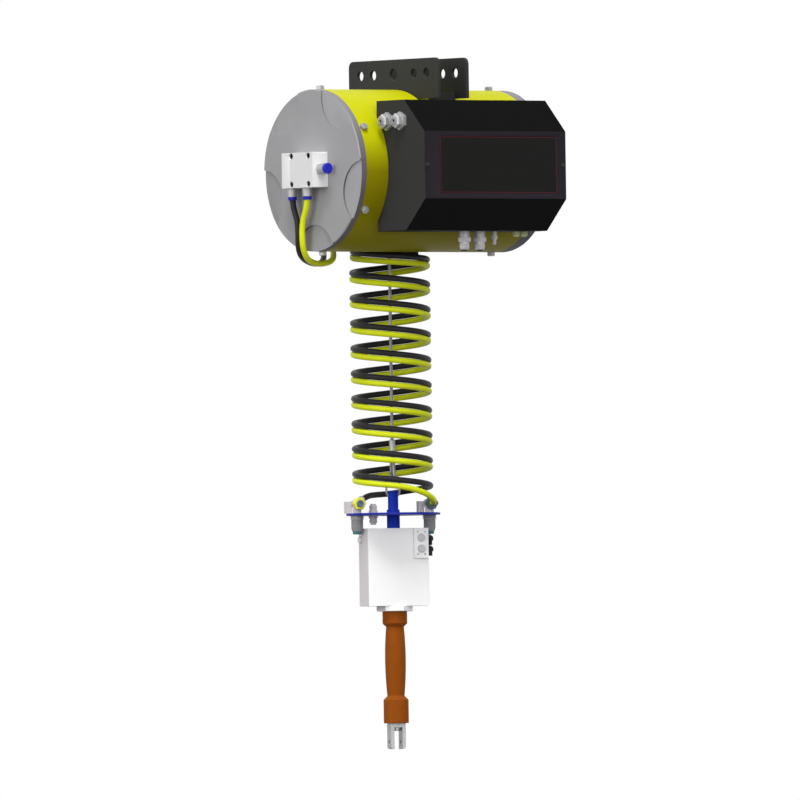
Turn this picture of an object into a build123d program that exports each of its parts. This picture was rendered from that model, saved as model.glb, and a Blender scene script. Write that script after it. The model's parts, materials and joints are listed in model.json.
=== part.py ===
from build123d import *
import os
from math import cos, radians, sin, sqrt, tan

# Air balancer: a piston in a drum pushes a rope reel along a ball screw, and the rope
# carries a control handle. Millimetres. X runs along the drum, -Y is the control box's
# side, Z is up. Shapes are drawn with z = 0 on the drum's axis and moved down at the end,
# so that the hanger's middle hole is the origin.

# Clearances
SEAT_GAP = 0.3        # between curved seats that don't move
SLIDE_GAP = 0.3       # round a part that slides
SHAFT_GAP = 0.08      # round a shaft that turns

# Drum
DRUM_DIA = 273.0
SHELL_WALL = 6.0
LEFT_LENGTH = 206.0   # from the rope to the left cap's face
RIGHT_LENGTH = 196.5  # from the rope to the right cap's face
LEFT_RIM = 13.0
RIGHT_RIM = 22.0
LEFT_SPIGOT = 18.0
RIGHT_SPIGOT = 26.0
SPIGOT_WALL = 16.0
RIM_CHAMFER = 1.5
BOSS_DIA = 70.0

# Scoops in the cap faces
SCOOP_COUNT = 5
SCOOP_SPAN = 43.0     # degrees that a scoop takes of the rim
SCOOP_FLOOR = 92.0    # smallest radius that a scoop reaches
SCOOP_START = 12.7    # degrees from the top towards the box
SCOOP_DEPTH = 3.0
SCOOP_TILT = 1.5

# Cap bolts
BOLT_COUNT = 6
BOLT_DIA = 8.0
BOLT_HEAD = 12.0      # across flats
BOLT_HEAD_HEIGHT = 6.5
BOLT_DEPTH = 12.0     # into the spigot
BOLT_INSET = 6.5      # from the shell's end to the bolt's axis

# Rope, reel and ball screw
ROPE_DIA = 5.5
ROPE_RADIUS = 62.0    # reel axis to rope centre, and so the offset of the rope's fall
SCREW_LEAD = 16.0     # also the pitch of the reel's grooves
END_GAP = 9.5         # nut's screw heads to the bumper, with the rope run out
SPARE_LEFT = 15.0     # reel barrel left of the rope's fall
SPARE_RIGHT = 11.0    # least reel barrel right of the last turn
REEL_WALL = 9.0
REEL_FLANGE = 8.0
REEL_FLANGE_RISE = 6.0
REEL_HUB = 17.0
SCREW_DIA = 32.0
SCREW_JOURNAL = 22.0
NUT_DIA = 56.0
NUT_FLANGE_DIA = 86.0
NUT_FLANGE = 10.0
NUT_LENGTH = 60.0
NUT_SCREW_CIRCLE = 71.0
NUT_SCREW_HEAD = 10.0
NUT_SCREW_RISE = 4.0
BEARING_DIA = 70.0
BEARING_WIDTH = 14.0
PISTON_WIDTH = 40.0
PISTON_WEB = 14.0
PISTON_RIM = 10.0
PISTON_HUB = 80.0
SEAL_WIDTH = 8.0
SEAL_DEPTH = 5.0
BUMPER_DIA = 90.0
BUMPER_WIDTH = 20.0

# Hanger
HOLE_RISE = 162.3     # drum axis to hanger holes
PLATE_THICK = 6.0
PLATE_GAP = 53.6
PLATE_WIDTH = 250.0
PLATE_TOP = 25.2      # above the holes
PLATE_BOTTOM = 43.3   # below the holes
PLATE_CORNER = 11.0
CENTRE_HOLE = 20.5
SIDE_HOLE = 17.0
INNER_HOLES = 57.1    # centre hole to the inner side holes
OUTER_HOLES = 92.8
TIE_OFFSET = 91.5
TIE_THICK = 6.0
TIE_TOP = 129.0

# Control box
BOX_HALF = 148.4
BOX_BACK = 106.0
BOX_FRONT = 239.0
BOX_TOP = 113.5
BOX_BOTTOM = 106.0
BOX_FLAT = 78.0       # depth of the level top and bottom
FACE_TOP = 59.5
FACE_BOTTOM = 54.0
BOX_WALL = 3.0
PANEL_LENGTH = 244.0
PANEL_HEIGHT = 94.0
PANEL_THICK = 2.0
PANEL_RISE = 3.0      # panel centre above the drum axis
PANEL_SHIFT = 6.5     # panel centre right of the rope
BOARD_LENGTH = 95.0
BOARD_WIDTH = 46.0
BOARD_THICK = 1.6
BOARD_INSET = 5.0     # board's edges to its posts
CHIP_LENGTH = 25.0
CHIP_WIDTH = 20.0
CHIP_HEIGHT = 4.0
STANDOFF = 8.0
STANDOFF_DIA = 6.0
VALVE_LENGTH = 46.0
VALVE_WIDTH = 32.0
VALVE_HEIGHT = 30.0
VALVE_SETBACK = 6.0   # valve's middle in front of its silencers
SOLENOID_DIA = 26.0
SOLENOID_HEIGHT = 32.0

# Cable glands and silencers of the box
SIDE_GLAND_HEX = 27.0
SIDE_GLAND_RISE = 78.0
SIDE_GLAND_Y = (-139.0, -175.5)
GLAND_BORE = 8.0
BOTTOM_GLAND_X = (2.5, 35.0)
SMALL_GLAND_X = 66.0
GLAND_Y = -145.0
SILENCER_INSETS = (36.4, 19.9)  # from the box's right side
SILENCER_DIA = 12.6

# Valve block and its fittings
BLOCK_DEPTH = 31.6
BLOCK_WIDTH = 87.0
BLOCK_HEIGHT = 59.2
BLOCK_SCREW_Y = (16.9, -30.6)
BLOCK_SCREW_Z = 23.75
BLOCK_SCREW_DIA = 10.5
FITTING_DIA = 17.4
FITTING_BODY = 14.0
COLLET_DIA = 15.0
COLLET_LENGTH = 6.0
LEAD_DEPTH = 16.0     # block fittings in front of the left cap
BLACK_Y = 35.4
YELLOW_Y = -6.7
SIDE_FITTING_LENGTH = 24.0
SIDE_COLLET_DIA = 18.2

# Rope guide under the drum
GUIDE_SIZE = 70.0
GUIDE_DROP = 4.5      # below the drum's lowest line
GUIDE_HOLE = 12.0

# Coiled hoses
HOSE_DIA = 10.0
COIL_RADIUS = 63.5
COIL_TOP = -137.3
COIL_BOTTOM = -502.3
TAIL_TURN = 42.4      # fall of a hose in one turn

# Handle unit, drawn about the rope
HANDLE_TURN = -17.0
FERRULE_DIA = 10.5
FERRULE_LENGTH = 20.0
FERRULE_RISE = 38.2   # above the link
LOOP_HALF = 8.8
LOOP_RADIUS = 7.6
THIMBLE_WALL = 1.2
LINK_PLAY = 0.6
LINK_WIDTH = 27.0
LINK_HEIGHT = 42.0
LINK_WIRE = 3.6
LINK_TOP = -509.2
STEM_DIA = 17.6
STEM_TOP = -538.0
SLEEVE_DIA = 22.0
SLEEVE_TOP = -569.5
DISC_DIA = 158.8
DISC_THICK = 3.5
DISC_TOP = -575.3
HANDLE_BOX_TOP = -601.0
HANDLE_BOX_HEIGHT = 131.0
HANDLE_BOX_LENGTH = 108.7
HANDLE_BOX_WIDTH = 46.8
HANDLE_BOX_WALL = 3.0
HANDLE_BOX_EDGE = 1.0
COVER_SCREW_INSET = 6.0
POST_DIA = 9.0
HEX_NUT_FLATS = 53.0
HEX_NUT_HEIGHT = 9.0

# Bulkhead fittings on the disc
FITTING_REACH = 64.9
BULKHEAD_DIA = 20.0
BULKHEAD_TIP = 17.0
BULKHEAD_LENGTH = 27.0
TIP_LENGTH = 5.0
ELBOW_RISE = 16.3
ELBOW_DIA = 16.0
ELBOW_SHANK = 15.0
ELBOW_NUT_FLATS = 19.8
ELBOW_NUT = 8.0
ELBOW_FRONT = 8.0
ELBOW_REAR = 12.5     # how near the black hose comes to the left elbow's axis
ELBOW_MOUTH = 18.0
MOUTH_TURN = 50.0     # from straight back towards the stem
MOUTH_LIFT = 22.0     # above the level
DISC_GLAND_X = -36.0
DISC_GLAND_DIA = 16.0

# Buttons on the handle box
BUTTON_BLOCK_LEFT = 26.4
BUTTON_BLOCK_WIDTH = 25.5
BUTTON_BLOCK_HEIGHT = 50.7
BUTTON_BLOCK_PROUD = 6.0
BUTTON_DIA = 12.4
BUTTON_PROUD = 2.5
BUTTON_TRAVEL = 2.0
BUTTON_STEM = 6.0
BUTTON_CAP = 5.6
RAISE_BUTTON_Z = -617.0
LOWER_BUTTON_Z = -635.9
BLOCK_SCREW_SPAN = (12.9, 37.4)
SIGNAL_ELBOW_Z = (-621.0, -639.2)
SIGNAL_ELBOW_DIA = 9.6
SIGNAL_ELBOW_NECK = 3.0

# Grip, spindle and clevis
GRIP_LENGTH = 188.6
GRIP_TRAVEL = 5.0
TOP_COLLAR_DIA = 41.7
TOP_COLLAR = 20.6
BOTTOM_COLLAR_DIA = 42.3
BOTTOM_COLLAR = 41.6
NECK_DIA = 30.0
NECK_BELOW = 26.0     # below the grip's top
BELLY_DIA = 35.0
BELLY_BELOW = 79.0
WRIST_DIA = 29.0
WRIST_BELOW = 142.5
SPINDLE_DIA = 16.0
SPINDLE_HEAD_DIA = 28.0
SPINDLE_HEAD = 8.0
PIVOT_DIA = 10.0
CLEVIS_LENGTH = 26.5
CLEVIS_WIDTH = 20.0
CLEVIS_HEIGHT = 43.7
CLEVIS_SLOT = 14.3
CLEVIS_WEB = 7.2
CLEVIS_PIN_DIA = 6.0
CLEVIS_PIN_DEPTH = 31.4
CLEVIS_CORNER = 5.0
PIVOT_NUT_DIA = 13.0
PIVOT_NUT = 5.5

# Worked-out places
DRUM_R = DRUM_DIA / 2
BORE_R = DRUM_R - SHELL_WALL
SHELL_LEFT = -LEFT_LENGTH + LEFT_RIM
SHELL_RIGHT = RIGHT_LENGTH - RIGHT_RIM
BOLT_ROWS = (SHELL_LEFT + BOLT_INSET, SHELL_RIGHT - BOLT_INSET)
ROPE_R = ROPE_DIA / 2
HOSE_R = HOSE_DIA / 2
REEL_R = ROPE_RADIUS
NUT_RIGHT = SHELL_RIGHT - RIGHT_SPIGOT - BUMPER_WIDTH - END_GAP - NUT_SCREW_RISE
REEL_RIGHT = NUT_RIGHT - NUT_FLANGE - REEL_FLANGE
WOUND_TURNS = int((REEL_RIGHT - SPARE_RIGHT) / SCREW_LEAD) + 1
BEARING_RIGHT = -SPARE_LEFT - REEL_FLANGE - REEL_HUB
PISTON_RIGHT = BEARING_RIGHT - BEARING_WIDTH
PISTON_LEFT = PISTON_RIGHT - PISTON_WIDTH
PLATE_IN = PLATE_GAP / 2
SILENCER_X = [BOX_HALF - inset for inset in SILENCER_INSETS]
HANDLE_BOX_BOTTOM = HANDLE_BOX_TOP - HANDLE_BOX_HEIGHT
GRIP_TOP = HANDLE_BOX_BOTTOM - HEX_NUT_HEIGHT
GRIP_BOTTOM = GRIP_TOP - GRIP_LENGTH
HANDLE_FRONT = -HANDLE_BOX_WIDTH / 2
DISC_BOTTOM = DISC_TOP - DISC_THICK
ELBOW_Z = DISC_TOP + ELBOW_RISE
FERRULE_BOTTOM = LINK_TOP + FERRULE_RISE
FERRULE_TOP = FERRULE_BOTTOM + FERRULE_LENGTH
LOOP_BOTTOM = LINK_TOP - LINK_WIRE - LINK_PLAY - THIMBLE_WALL - SEAT_GAP - ROPE_R
BLOCK_FACE_Y = HANDLE_FRONT - BUTTON_BLOCK_PROUD
BUTTON_X = BUTTON_BLOCK_LEFT + BUTTON_BLOCK_WIDTH / 2
CLEVIS_TOP = GRIP_BOTTOM
CLEVIS_BOTTOM = CLEVIS_TOP - CLEVIS_HEIGHT

DRUM_PLACE = Pos(0, 0, -HOLE_RISE)
HANDLE_PLACE = Pos(0, ROPE_RADIUS, -HOLE_RISE) * Rot(0, 0, HANDLE_TURN)


def block(x0, x1, y0, y1, z0, z1):
    """A box between two corners."""
    middle = Pos((x0 + x1) / 2, (y0 + y1) / 2, (z0 + z1) / 2)
    return middle * Box(abs(x1 - x0), abs(y1 - y0), abs(z1 - z0))


def rod_x(radius, x0, x1, y=0, z=0):
    """A cylinder along X."""
    return Pos((x0 + x1) / 2, y, z) * Rot(0, 90, 0) * Cylinder(radius, abs(x1 - x0))


def rod_y(radius, y0, y1, x=0, z=0):
    """A cylinder along Y."""
    return Pos(x, (y0 + y1) / 2, z) * Rot(90, 0, 0) * Cylinder(radius, abs(y1 - y0))


def rod_z(radius, z0, z1, x=0, y=0):
    """A cylinder along Z."""
    return Pos(x, y, (z0 + z1) / 2) * Cylinder(radius, abs(z1 - z0))


def hexagon(flats, height):
    """A hexagonal prism on the XY plane, with the given size across flats."""
    return extrude(RegularPolygon(flats / 2, 6, major_radius=False), height)


def turned(outline, axis=Axis.Z):
    """A solid of revolution from (radius, z) points, about Z."""
    face = make_face(Polyline(*[(r, 0, z) for r, z in outline], close=True))
    return revolve(face, axis)


def around(shape, count, start=0.0):
    """Copies of a shape about the drum's axis, from the top towards the box."""
    return [Rot(start + 360 / count * i, 0, 0) * shape for i in range(count)]


def hose_path(points):
    """Straight runs joined by tangent arcs as large as the runs allow."""
    radii = []
    for before, here, after in zip(points, points[1:], points[2:]):
        run_in = Vector(*here) - Vector(*before)
        run_out = Vector(*after) - Vector(*here)
        half_turn = radians(run_in.get_angle(run_out)) / 2
        radii.append(0.45 * min(run_in.length, run_out.length) / tan(half_turn))
    print("smallest bend radius", round(min(radii), 1))
    return FilletPolyline(*points, radius=radii)


def hose(points, radius=HOSE_R):
    """A round tube along a route."""
    path = hose_path(points)
    section = Plane(origin=path @ 0, z_dir=path % 0) * Circle(radius)
    return sweep(section, path=path)


def coil_point(angle, z, radius):
    """A point round the rope, with the angle in degrees from +X."""
    x = radius * cos(radians(angle))
    return (x, ROPE_RADIUS + radius * sin(radians(angle)), z)


# Drum

def drum_shell():
    shell = rod_x(DRUM_R, SHELL_LEFT, SHELL_RIGHT) - rod_x(BORE_R, SHELL_LEFT, SHELL_RIGHT)
    for x in BOLT_ROWS:
        hole = rod_z(BOLT_DIA / 2 + SEAT_GAP, BORE_R - 2, DRUM_R + 2, x)
        for cut in around(hole, BOLT_COUNT):
            shell -= cut
    return shell - rod_z(GUIDE_HOLE / 2 + 2, -DRUM_R, -BORE_R / 2, 0, ROPE_RADIUS)


def end_cap(rim, spigot, bolt_x, journal):
    """A cast cap with its outer face at x = 0 and its spigot towards +X."""
    spigot_r = BORE_R - SEAT_GAP
    cap = rod_x(DRUM_R, 0, rim)
    cap = chamfer(cap.edges().filter_by(GeomType.CIRCLE).sort_by(Axis.X)[0], RIM_CHAMFER)
    cap += rod_x(spigot_r, rim, rim + spigot) - rod_x(spigot_r - SPIGOT_WALL, rim, rim + spigot)
    cap += rod_x(BOSS_DIA / 2, rim, rim + spigot)
    half = radians(SCOOP_SPAN / 2)
    sagitta = DRUM_R * cos(half) - SCOOP_FLOOR
    scoop_r = ((DRUM_R * sin(half)) ** 2 + sagitta ** 2) / (2 * sagitta)
    scoop = Pos(0, 0, SCOOP_FLOOR + scoop_r) * Rot(0, 0, SCOOP_TILT) * rod_x(scoop_r, -5, SCOOP_DEPTH)
    for cut in around(scoop, SCOOP_COUNT, SCOOP_START + SCOOP_SPAN / 2):
        cap -= cut
    hole = rod_z(BOLT_DIA / 2 + SEAT_GAP, BORE_R - BOLT_DEPTH - 1, DRUM_R, bolt_x)
    for cut in around(hole, BOLT_COUNT):
        cap -= cut
    return cap - rod_x(SCREW_JOURNAL / 2 + SEAT_GAP, rim + spigot - journal, rim + spigot)


def left_cap():
    cap = end_cap(LEFT_RIM, LEFT_SPIGOT, LEFT_RIM + BOLT_INSET, LEFT_SPIGOT)
    return Pos(-LEFT_LENGTH, 0, 0) * cap


def right_cap():
    cap = end_cap(RIGHT_RIM, RIGHT_SPIGOT, RIGHT_RIM + BOLT_INSET, RIGHT_SPIGOT)
    bolt = rod_x(BOLT_DIA + SEAT_GAP, -1, RIGHT_RIM + RIGHT_SPIGOT)
    return Pos(RIGHT_LENGTH, 0, 0) * mirror(cap - bolt, about=Plane.YZ)


def cap_bolts(x):
    head = Pos(x, 0, DRUM_R) * hexagon(BOLT_HEAD, BOLT_HEAD_HEIGHT)
    head = chamfer(head.faces().sort_by(Axis.Z)[-1].edges(), 0.8)
    bolt = head + rod_z(BOLT_DIA / 2, BORE_R - BOLT_DEPTH, DRUM_R, x)
    return around(bolt, BOLT_COUNT)


def screw_end_bolt():
    """Bolt in the right cap's middle that holds the ball screw."""
    head = Pos(RIGHT_LENGTH, 0, 0) * Rot(0, 90, 0) * hexagon(3 * BOLT_DIA, BOLT_DIA)
    head = chamfer(head.faces().sort_by(Axis.X)[-1].edges(), 1.2)
    washer = rod_x(BOSS_DIA / 4, RIGHT_LENGTH, RIGHT_LENGTH + 2)
    return head + washer + rod_x(BOLT_DIA, RIGHT_LENGTH - RIGHT_RIM, RIGHT_LENGTH)


# Reel and piston

def ball_screw():
    left_end = SHELL_LEFT + LEFT_SPIGOT
    right_end = SHELL_RIGHT - RIGHT_SPIGOT
    screw = rod_x(SCREW_DIA / 2, left_end, right_end)
    screw += rod_x(SCREW_JOURNAL / 2, SHELL_LEFT, left_end)
    return screw + rod_x(SCREW_JOURNAL / 2, right_end, SHELL_RIGHT)


def piston():
    outer = BORE_R - 1.5
    body = rod_x(outer, PISTON_LEFT, PISTON_RIGHT)
    pocket = PISTON_WIDTH - PISTON_WEB
    body -= rod_x(outer - PISTON_RIM, PISTON_RIGHT - pocket, PISTON_RIGHT)
    body += rod_x(PISTON_HUB / 2, PISTON_RIGHT - pocket, PISTON_RIGHT)
    groove_left = PISTON_LEFT + (PISTON_WIDTH - SEAL_WIDTH) / 2
    groove = rod_x(outer + 1, groove_left, groove_left + SEAL_WIDTH)
    groove -= rod_x(outer - SEAL_DEPTH, groove_left, groove_left + SEAL_WIDTH)
    return body - groove - rod_x(SCREW_DIA / 2 + SLIDE_GAP, PISTON_LEFT, PISTON_RIGHT)


def piston_seal():
    left = PISTON_LEFT + (PISTON_WIDTH - SEAL_WIDTH) / 2 + SEAT_GAP
    right = left + SEAL_WIDTH - 2 * SEAT_GAP
    inner = BORE_R - 1.5 - SEAL_DEPTH + SEAT_GAP
    return rod_x(BORE_R - SLIDE_GAP, left, right) - rod_x(inner, left, right)


def thrust_bearing():
    race = rod_x(BEARING_DIA / 2, PISTON_RIGHT, BEARING_RIGHT - SLIDE_GAP)
    groove = rod_x(BEARING_DIA / 2, -1.5, 1.5) - rod_x(BEARING_DIA / 2 - 4, -1.5, 1.5)
    race -= Pos((PISTON_RIGHT + BEARING_RIGHT) / 2, 0, 0) * groove
    return race - rod_x(SCREW_DIA / 2 + 1, PISTON_RIGHT, BEARING_RIGHT)


def reel():
    left = -SPARE_LEFT - REEL_FLANGE
    right = REEL_RIGHT + REEL_FLANGE
    body = rod_x(REEL_R, left, right)
    body += rod_x(REEL_R + REEL_FLANGE_RISE, left, -SPARE_LEFT)
    body += rod_x(REEL_R + REEL_FLANGE_RISE, REEL_RIGHT, right)
    hollow_r = REEL_R - ROPE_R - REEL_WALL
    nut_left = right - NUT_LENGTH + NUT_FLANGE
    body -= rod_x(hollow_r, -SPARE_LEFT, nut_left)
    body += rod_x(BEARING_DIA / 2, BEARING_RIGHT, left)
    body -= rod_x(NUT_DIA / 2 + SEAT_GAP, nut_left, right)
    body -= rod_x(SCREW_DIA / 2 + SLIDE_GAP, BEARING_RIGHT, right)
    for turn in range(WOUND_TURNS):
        groove = Pos(SCREW_LEAD * turn, 0, 0) * Rot(0, 90, 0) * Torus(ROPE_RADIUS, ROPE_R + SEAT_GAP)
        body -= groove
    return body


def ball_nut():
    right = REEL_RIGHT + REEL_FLANGE
    nut = rod_x(NUT_DIA / 2, right - NUT_LENGTH + NUT_FLANGE, right)
    nut += rod_x(NUT_FLANGE_DIA / 2, right, NUT_RIGHT)
    screw_head = rod_x(NUT_SCREW_HEAD / 2, NUT_RIGHT, NUT_RIGHT + NUT_SCREW_RISE,
                       0, NUT_SCREW_CIRCLE / 2)
    for head in around(screw_head, 6):
        nut += head
    return nut - rod_x(SCREW_DIA / 2 + SHAFT_GAP, right - NUT_LENGTH, NUT_RIGHT)


def rope_wraps():
    rings = [Pos(SCREW_LEAD * turn, 0, 0) * Rot(0, 90, 0) * Torus(ROPE_RADIUS, ROPE_R)
             for turn in range(1, WOUND_TURNS)]
    first = Rot(0, 90, 0) * Torus(ROPE_RADIUS, ROPE_R)
    first -= block(-ROPE_DIA, ROPE_DIA, 0, ROPE_RADIUS + ROPE_DIA, -ROPE_RADIUS - ROPE_DIA, 0)
    return [first] + rings


def bumper():
    right = SHELL_RIGHT - RIGHT_SPIGOT
    ring = rod_x(BUMPER_DIA / 2, right - BUMPER_WIDTH, right)
    ring -= rod_x(SCREW_DIA / 2 + SEAT_GAP, right - BUMPER_WIDTH, right)
    return chamfer(ring.faces().sort_by(Axis.X)[0].edges().sort_by(SortBy.LENGTH)[-1], 3)


# Hanger

def hanger_plate(x0):
    top = HOLE_RISE + PLATE_TOP
    bottom = HOLE_RISE - PLATE_BOTTOM
    half = PLATE_WIDTH / 2
    plate = block(x0, x0 + PLATE_THICK, -half, half, bottom, top)
    plate = fillet(plate.edges().filter_by(Axis.X).group_by(Axis.Z)[-1], PLATE_CORNER)
    plate -= rod_x(DRUM_R, x0 - 1, x0 + PLATE_THICK + 1)
    plate -= rod_x(CENTRE_HOLE / 2, x0 - 1, x0 + PLATE_THICK + 1, 0, HOLE_RISE)
    for y in (-OUTER_HOLES, -INNER_HOLES, INNER_HOLES, OUTER_HOLES):
        plate -= rod_x(SIDE_HOLE / 2, x0 - 1, x0 + PLATE_THICK + 1, y, HOLE_RISE)
    return plate


def hanger_tie(side):
    y = side * TIE_OFFSET
    tie = block(-PLATE_IN, PLATE_IN, y - TIE_THICK / 2, y + TIE_THICK / 2, 0, TIE_TOP)
    return tie - rod_x(DRUM_R, -PLATE_IN - 1, PLATE_IN + 1)


# Control box

def box_outline(inset):
    """The box's profile in the YZ plane, drawn in by a wall."""
    back = -BOX_BACK - inset
    front = -BOX_FRONT + inset
    top = BOX_TOP - inset
    low = -BOX_BOTTOM + inset
    shoulder = -BOX_BACK - BOX_FLAT
    lean = inset * tan(radians(22.5))
    points = [(0, back, top), (0, shoulder - lean, top),
              (0, front, FACE_TOP - lean), (0, front, -FACE_BOTTOM + lean),
              (0, shoulder - lean, low), (0, back, low)]
    return make_face(Polyline(*points, close=True))


def box_prism(inset):
    half = BOX_HALF - inset
    return Pos(-half, 0, 0) * extrude(box_outline(inset), 2 * half, dir=(1, 0, 0))


def control_box():
    around_drum = rod_x(DRUM_R + SEAT_GAP, -BOX_HALF - 1, BOX_HALF + 1)
    wall = rod_x(DRUM_R + SEAT_GAP + BOX_WALL, -BOX_HALF - 1, BOX_HALF + 1)
    case = box_prism(0) - (box_prism(BOX_WALL) - wall) - around_drum
    half = PANEL_LENGTH / 2 + SEAT_GAP
    high = PANEL_HEIGHT / 2 + SEAT_GAP
    case -= block(PANEL_SHIFT - half, PANEL_SHIFT + half, -BOX_FRONT - 1, -BOX_FRONT + PANEL_THICK,
                  PANEL_RISE - high, PANEL_RISE + high)
    for x in BOLT_ROWS:
        for room in around(rod_z(BOLT_HEAD, 0, DRUM_R + BOLT_HEAD_HEIGHT + 1, x), BOLT_COUNT):
            case -= room
    for y in SIDE_GLAND_Y:
        case -= rod_x(GLAND_BORE + SEAT_GAP, -BOX_HALF - 1, -BOX_HALF + BOX_WALL + 1, y, SIDE_GLAND_RISE)
    for x in BOTTOM_GLAND_X:
        case -= rod_z(8 + SEAT_GAP, -BOX_BOTTOM - 1, -BOX_BOTTOM + BOX_WALL + 1, x, GLAND_Y)
    case -= rod_z(4 + SEAT_GAP, -BOX_BOTTOM - 1, -BOX_BOTTOM + BOX_WALL + 1, SMALL_GLAND_X, GLAND_Y)
    for x in SILENCER_X:
        case -= rod_z(4 + SEAT_GAP, -BOX_BOTTOM - 1, -BOX_BOTTOM + BOX_WALL + 1, x, GLAND_Y)
    return case


def front_panel():
    half = PANEL_LENGTH / 2
    return block(PANEL_SHIFT - half, PANEL_SHIFT + half, -BOX_FRONT, -BOX_FRONT + PANEL_THICK,
                 PANEL_RISE - PANEL_HEIGHT / 2, PANEL_RISE + PANEL_HEIGHT / 2)


def side_glands():
    glands = []
    for y in SIDE_GLAND_Y:
        gland = Rot(0, -90, 0) * hexagon(SIDE_GLAND_HEX, 6)
        gland += rod_x(11.5, -8, -6)
        gland += Pos(-8, 0, 0) * Rot(0, -90, 0) * chamfer(
            hexagon(22, 8).faces().sort_by(Axis.Z)[-1].edges(), 2.5)
        gland += rod_x(GLAND_BORE, 0, BOX_WALL + 5)
        gland -= rod_x(GLAND_BORE / 2, -17, BOX_WALL + 6)
        glands.append(Pos(-BOX_HALF, y, SIDE_GLAND_RISE) * gland)
    return glands


def gland_down(body, hexes, dome, length, bore):
    """A gland that hangs from z = 0, with its thread above."""
    third = length / 3
    gland = rod_z(body / 2, -third, 0)
    gland += Pos(0, 0, -third - third * 0.7) * hexagon(hexes, third * 0.7)
    gland += rod_z(body / 2 - 0.5, -third * 2, -third * 1.7)
    nose = Pos(0, 0, -length) * hexagon(dome, third)
    gland += chamfer(nose.faces().sort_by(Axis.Z)[0].edges(), dome * 0.12)
    gland += rod_z(body * 0.42, 0, BOX_WALL + 4)
    return gland - rod_z(bore / 2, -length - 1, BOX_WALL + 5)


def bottom_glands():
    glands = [Pos(x, GLAND_Y, -BOX_BOTTOM) * gland_down(19, 21, 16, 31, 10) for x in BOTTOM_GLAND_X]
    return glands + [Pos(SMALL_GLAND_X, GLAND_Y, -BOX_BOTTOM) * gland_down(9, 10.5, 6, 22, 3)]


def silencers():
    pots = []
    for x in SILENCER_X:
        pot = rod_z(SILENCER_DIA / 2, -9, 0)
        pot = fillet(pot.edges().filter_by(GeomType.CIRCLE).sort_by(Axis.Z)[0], 4)
        pots.append(Pos(x, GLAND_Y, -BOX_BOTTOM) * (pot + rod_z(4, 0, BOX_WALL)))
    return pots


def control_board():
    left = -2 * BOX_HALF / 3
    front = GLAND_Y - BOARD_WIDTH / 2
    floor = -BOX_BOTTOM + BOX_WALL
    board = block(left, left + BOARD_LENGTH, front, front + BOARD_WIDTH,
                  floor + STANDOFF, floor + STANDOFF + BOARD_THICK)
    for x in (left + BOARD_INSET, left + BOARD_LENGTH - BOARD_INSET):
        for y in (front + BOARD_INSET, front + BOARD_WIDTH - BOARD_INSET):
            board += rod_z(STANDOFF_DIA / 2, floor, floor + STANDOFF, x, y)
    chip = Box(CHIP_LENGTH, CHIP_WIDTH, CHIP_HEIGHT)
    chip_z = floor + STANDOFF + BOARD_THICK + CHIP_HEIGHT / 2
    return board + Pos(left + BOARD_LENGTH / 2, GLAND_Y, chip_z) * chip


def proportional_valve():
    floor = -BOX_BOTTOM + BOX_WALL
    middle = (SILENCER_X[0] + SILENCER_X[1]) / 2
    half, deep = (VALVE_LENGTH / 2, VALVE_WIDTH / 2)
    y = GLAND_Y - VALVE_SETBACK
    top = floor + VALVE_HEIGHT
    valve = block(middle - half, middle + half, y - deep, y + deep, floor, top)
    return valve + rod_z(SOLENOID_DIA / 2, top, top + SOLENOID_HEIGHT, middle, y)


# Valve block

def valve_block():
    body = block(-LEFT_LENGTH - BLOCK_DEPTH, -LEFT_LENGTH, -BLOCK_WIDTH / 2, BLOCK_WIDTH / 2,
                 -BLOCK_HEIGHT / 2, BLOCK_HEIGHT / 2)
    body = chamfer(body.edges().filter_by(Axis.X), 0.6)
    for y in BLOCK_SCREW_Y:
        for z in (-BLOCK_SCREW_Z, BLOCK_SCREW_Z):
            face = -LEFT_LENGTH - BLOCK_DEPTH
            body -= rod_x(BLOCK_SCREW_DIA / 2, face - 1, face + 8, y, z)
            body -= rod_x(3.3, face, -LEFT_LENGTH + 1, y, z)
    return body


def valve_block_screws():
    screws = []
    for y in BLOCK_SCREW_Y:
        for z in (-BLOCK_SCREW_Z, BLOCK_SCREW_Z):
            seat = -LEFT_LENGTH - BLOCK_DEPTH + 8
            screw = rod_x(BLOCK_SCREW_DIA / 2 - SEAT_GAP, seat - 6, seat, y, z)
            screw -= Pos(seat - 6, y, z) * Rot(0, 90, 0) * hexagon(5, 3)
            screws.append(screw + rod_x(3, seat, -LEFT_LENGTH, y, z))
    return screws


def fitting_places():
    """Where the three block fittings stand, each with its outward side down. A plug shuts the last."""
    x = -LEFT_LENGTH - LEAD_DEPTH
    under = [Pos(x, y, -BLOCK_HEIGHT / 2) for y in (BLACK_Y, YELLOW_Y)]
    return under + [Pos(x, -BLOCK_WIDTH / 2, 1.5) * Rot(-90, 0, 0)]


def block_fittings():
    side_body = SIDE_FITTING_LENGTH - COLLET_LENGTH
    bodies = []
    for length in (FITTING_BODY, FITTING_BODY, side_body):
        body = rod_z(FITTING_DIA / 2, -length * 0.55, 0)
        body += rod_z(FITTING_DIA / 2 - 0.7, -length, -length * 0.55)
        bodies.append(body - rod_z(HOSE_R + SEAT_GAP, -length - 1, -length * 0.4))
    return [place * body for place, body in zip(fitting_places(), bodies)]


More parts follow.
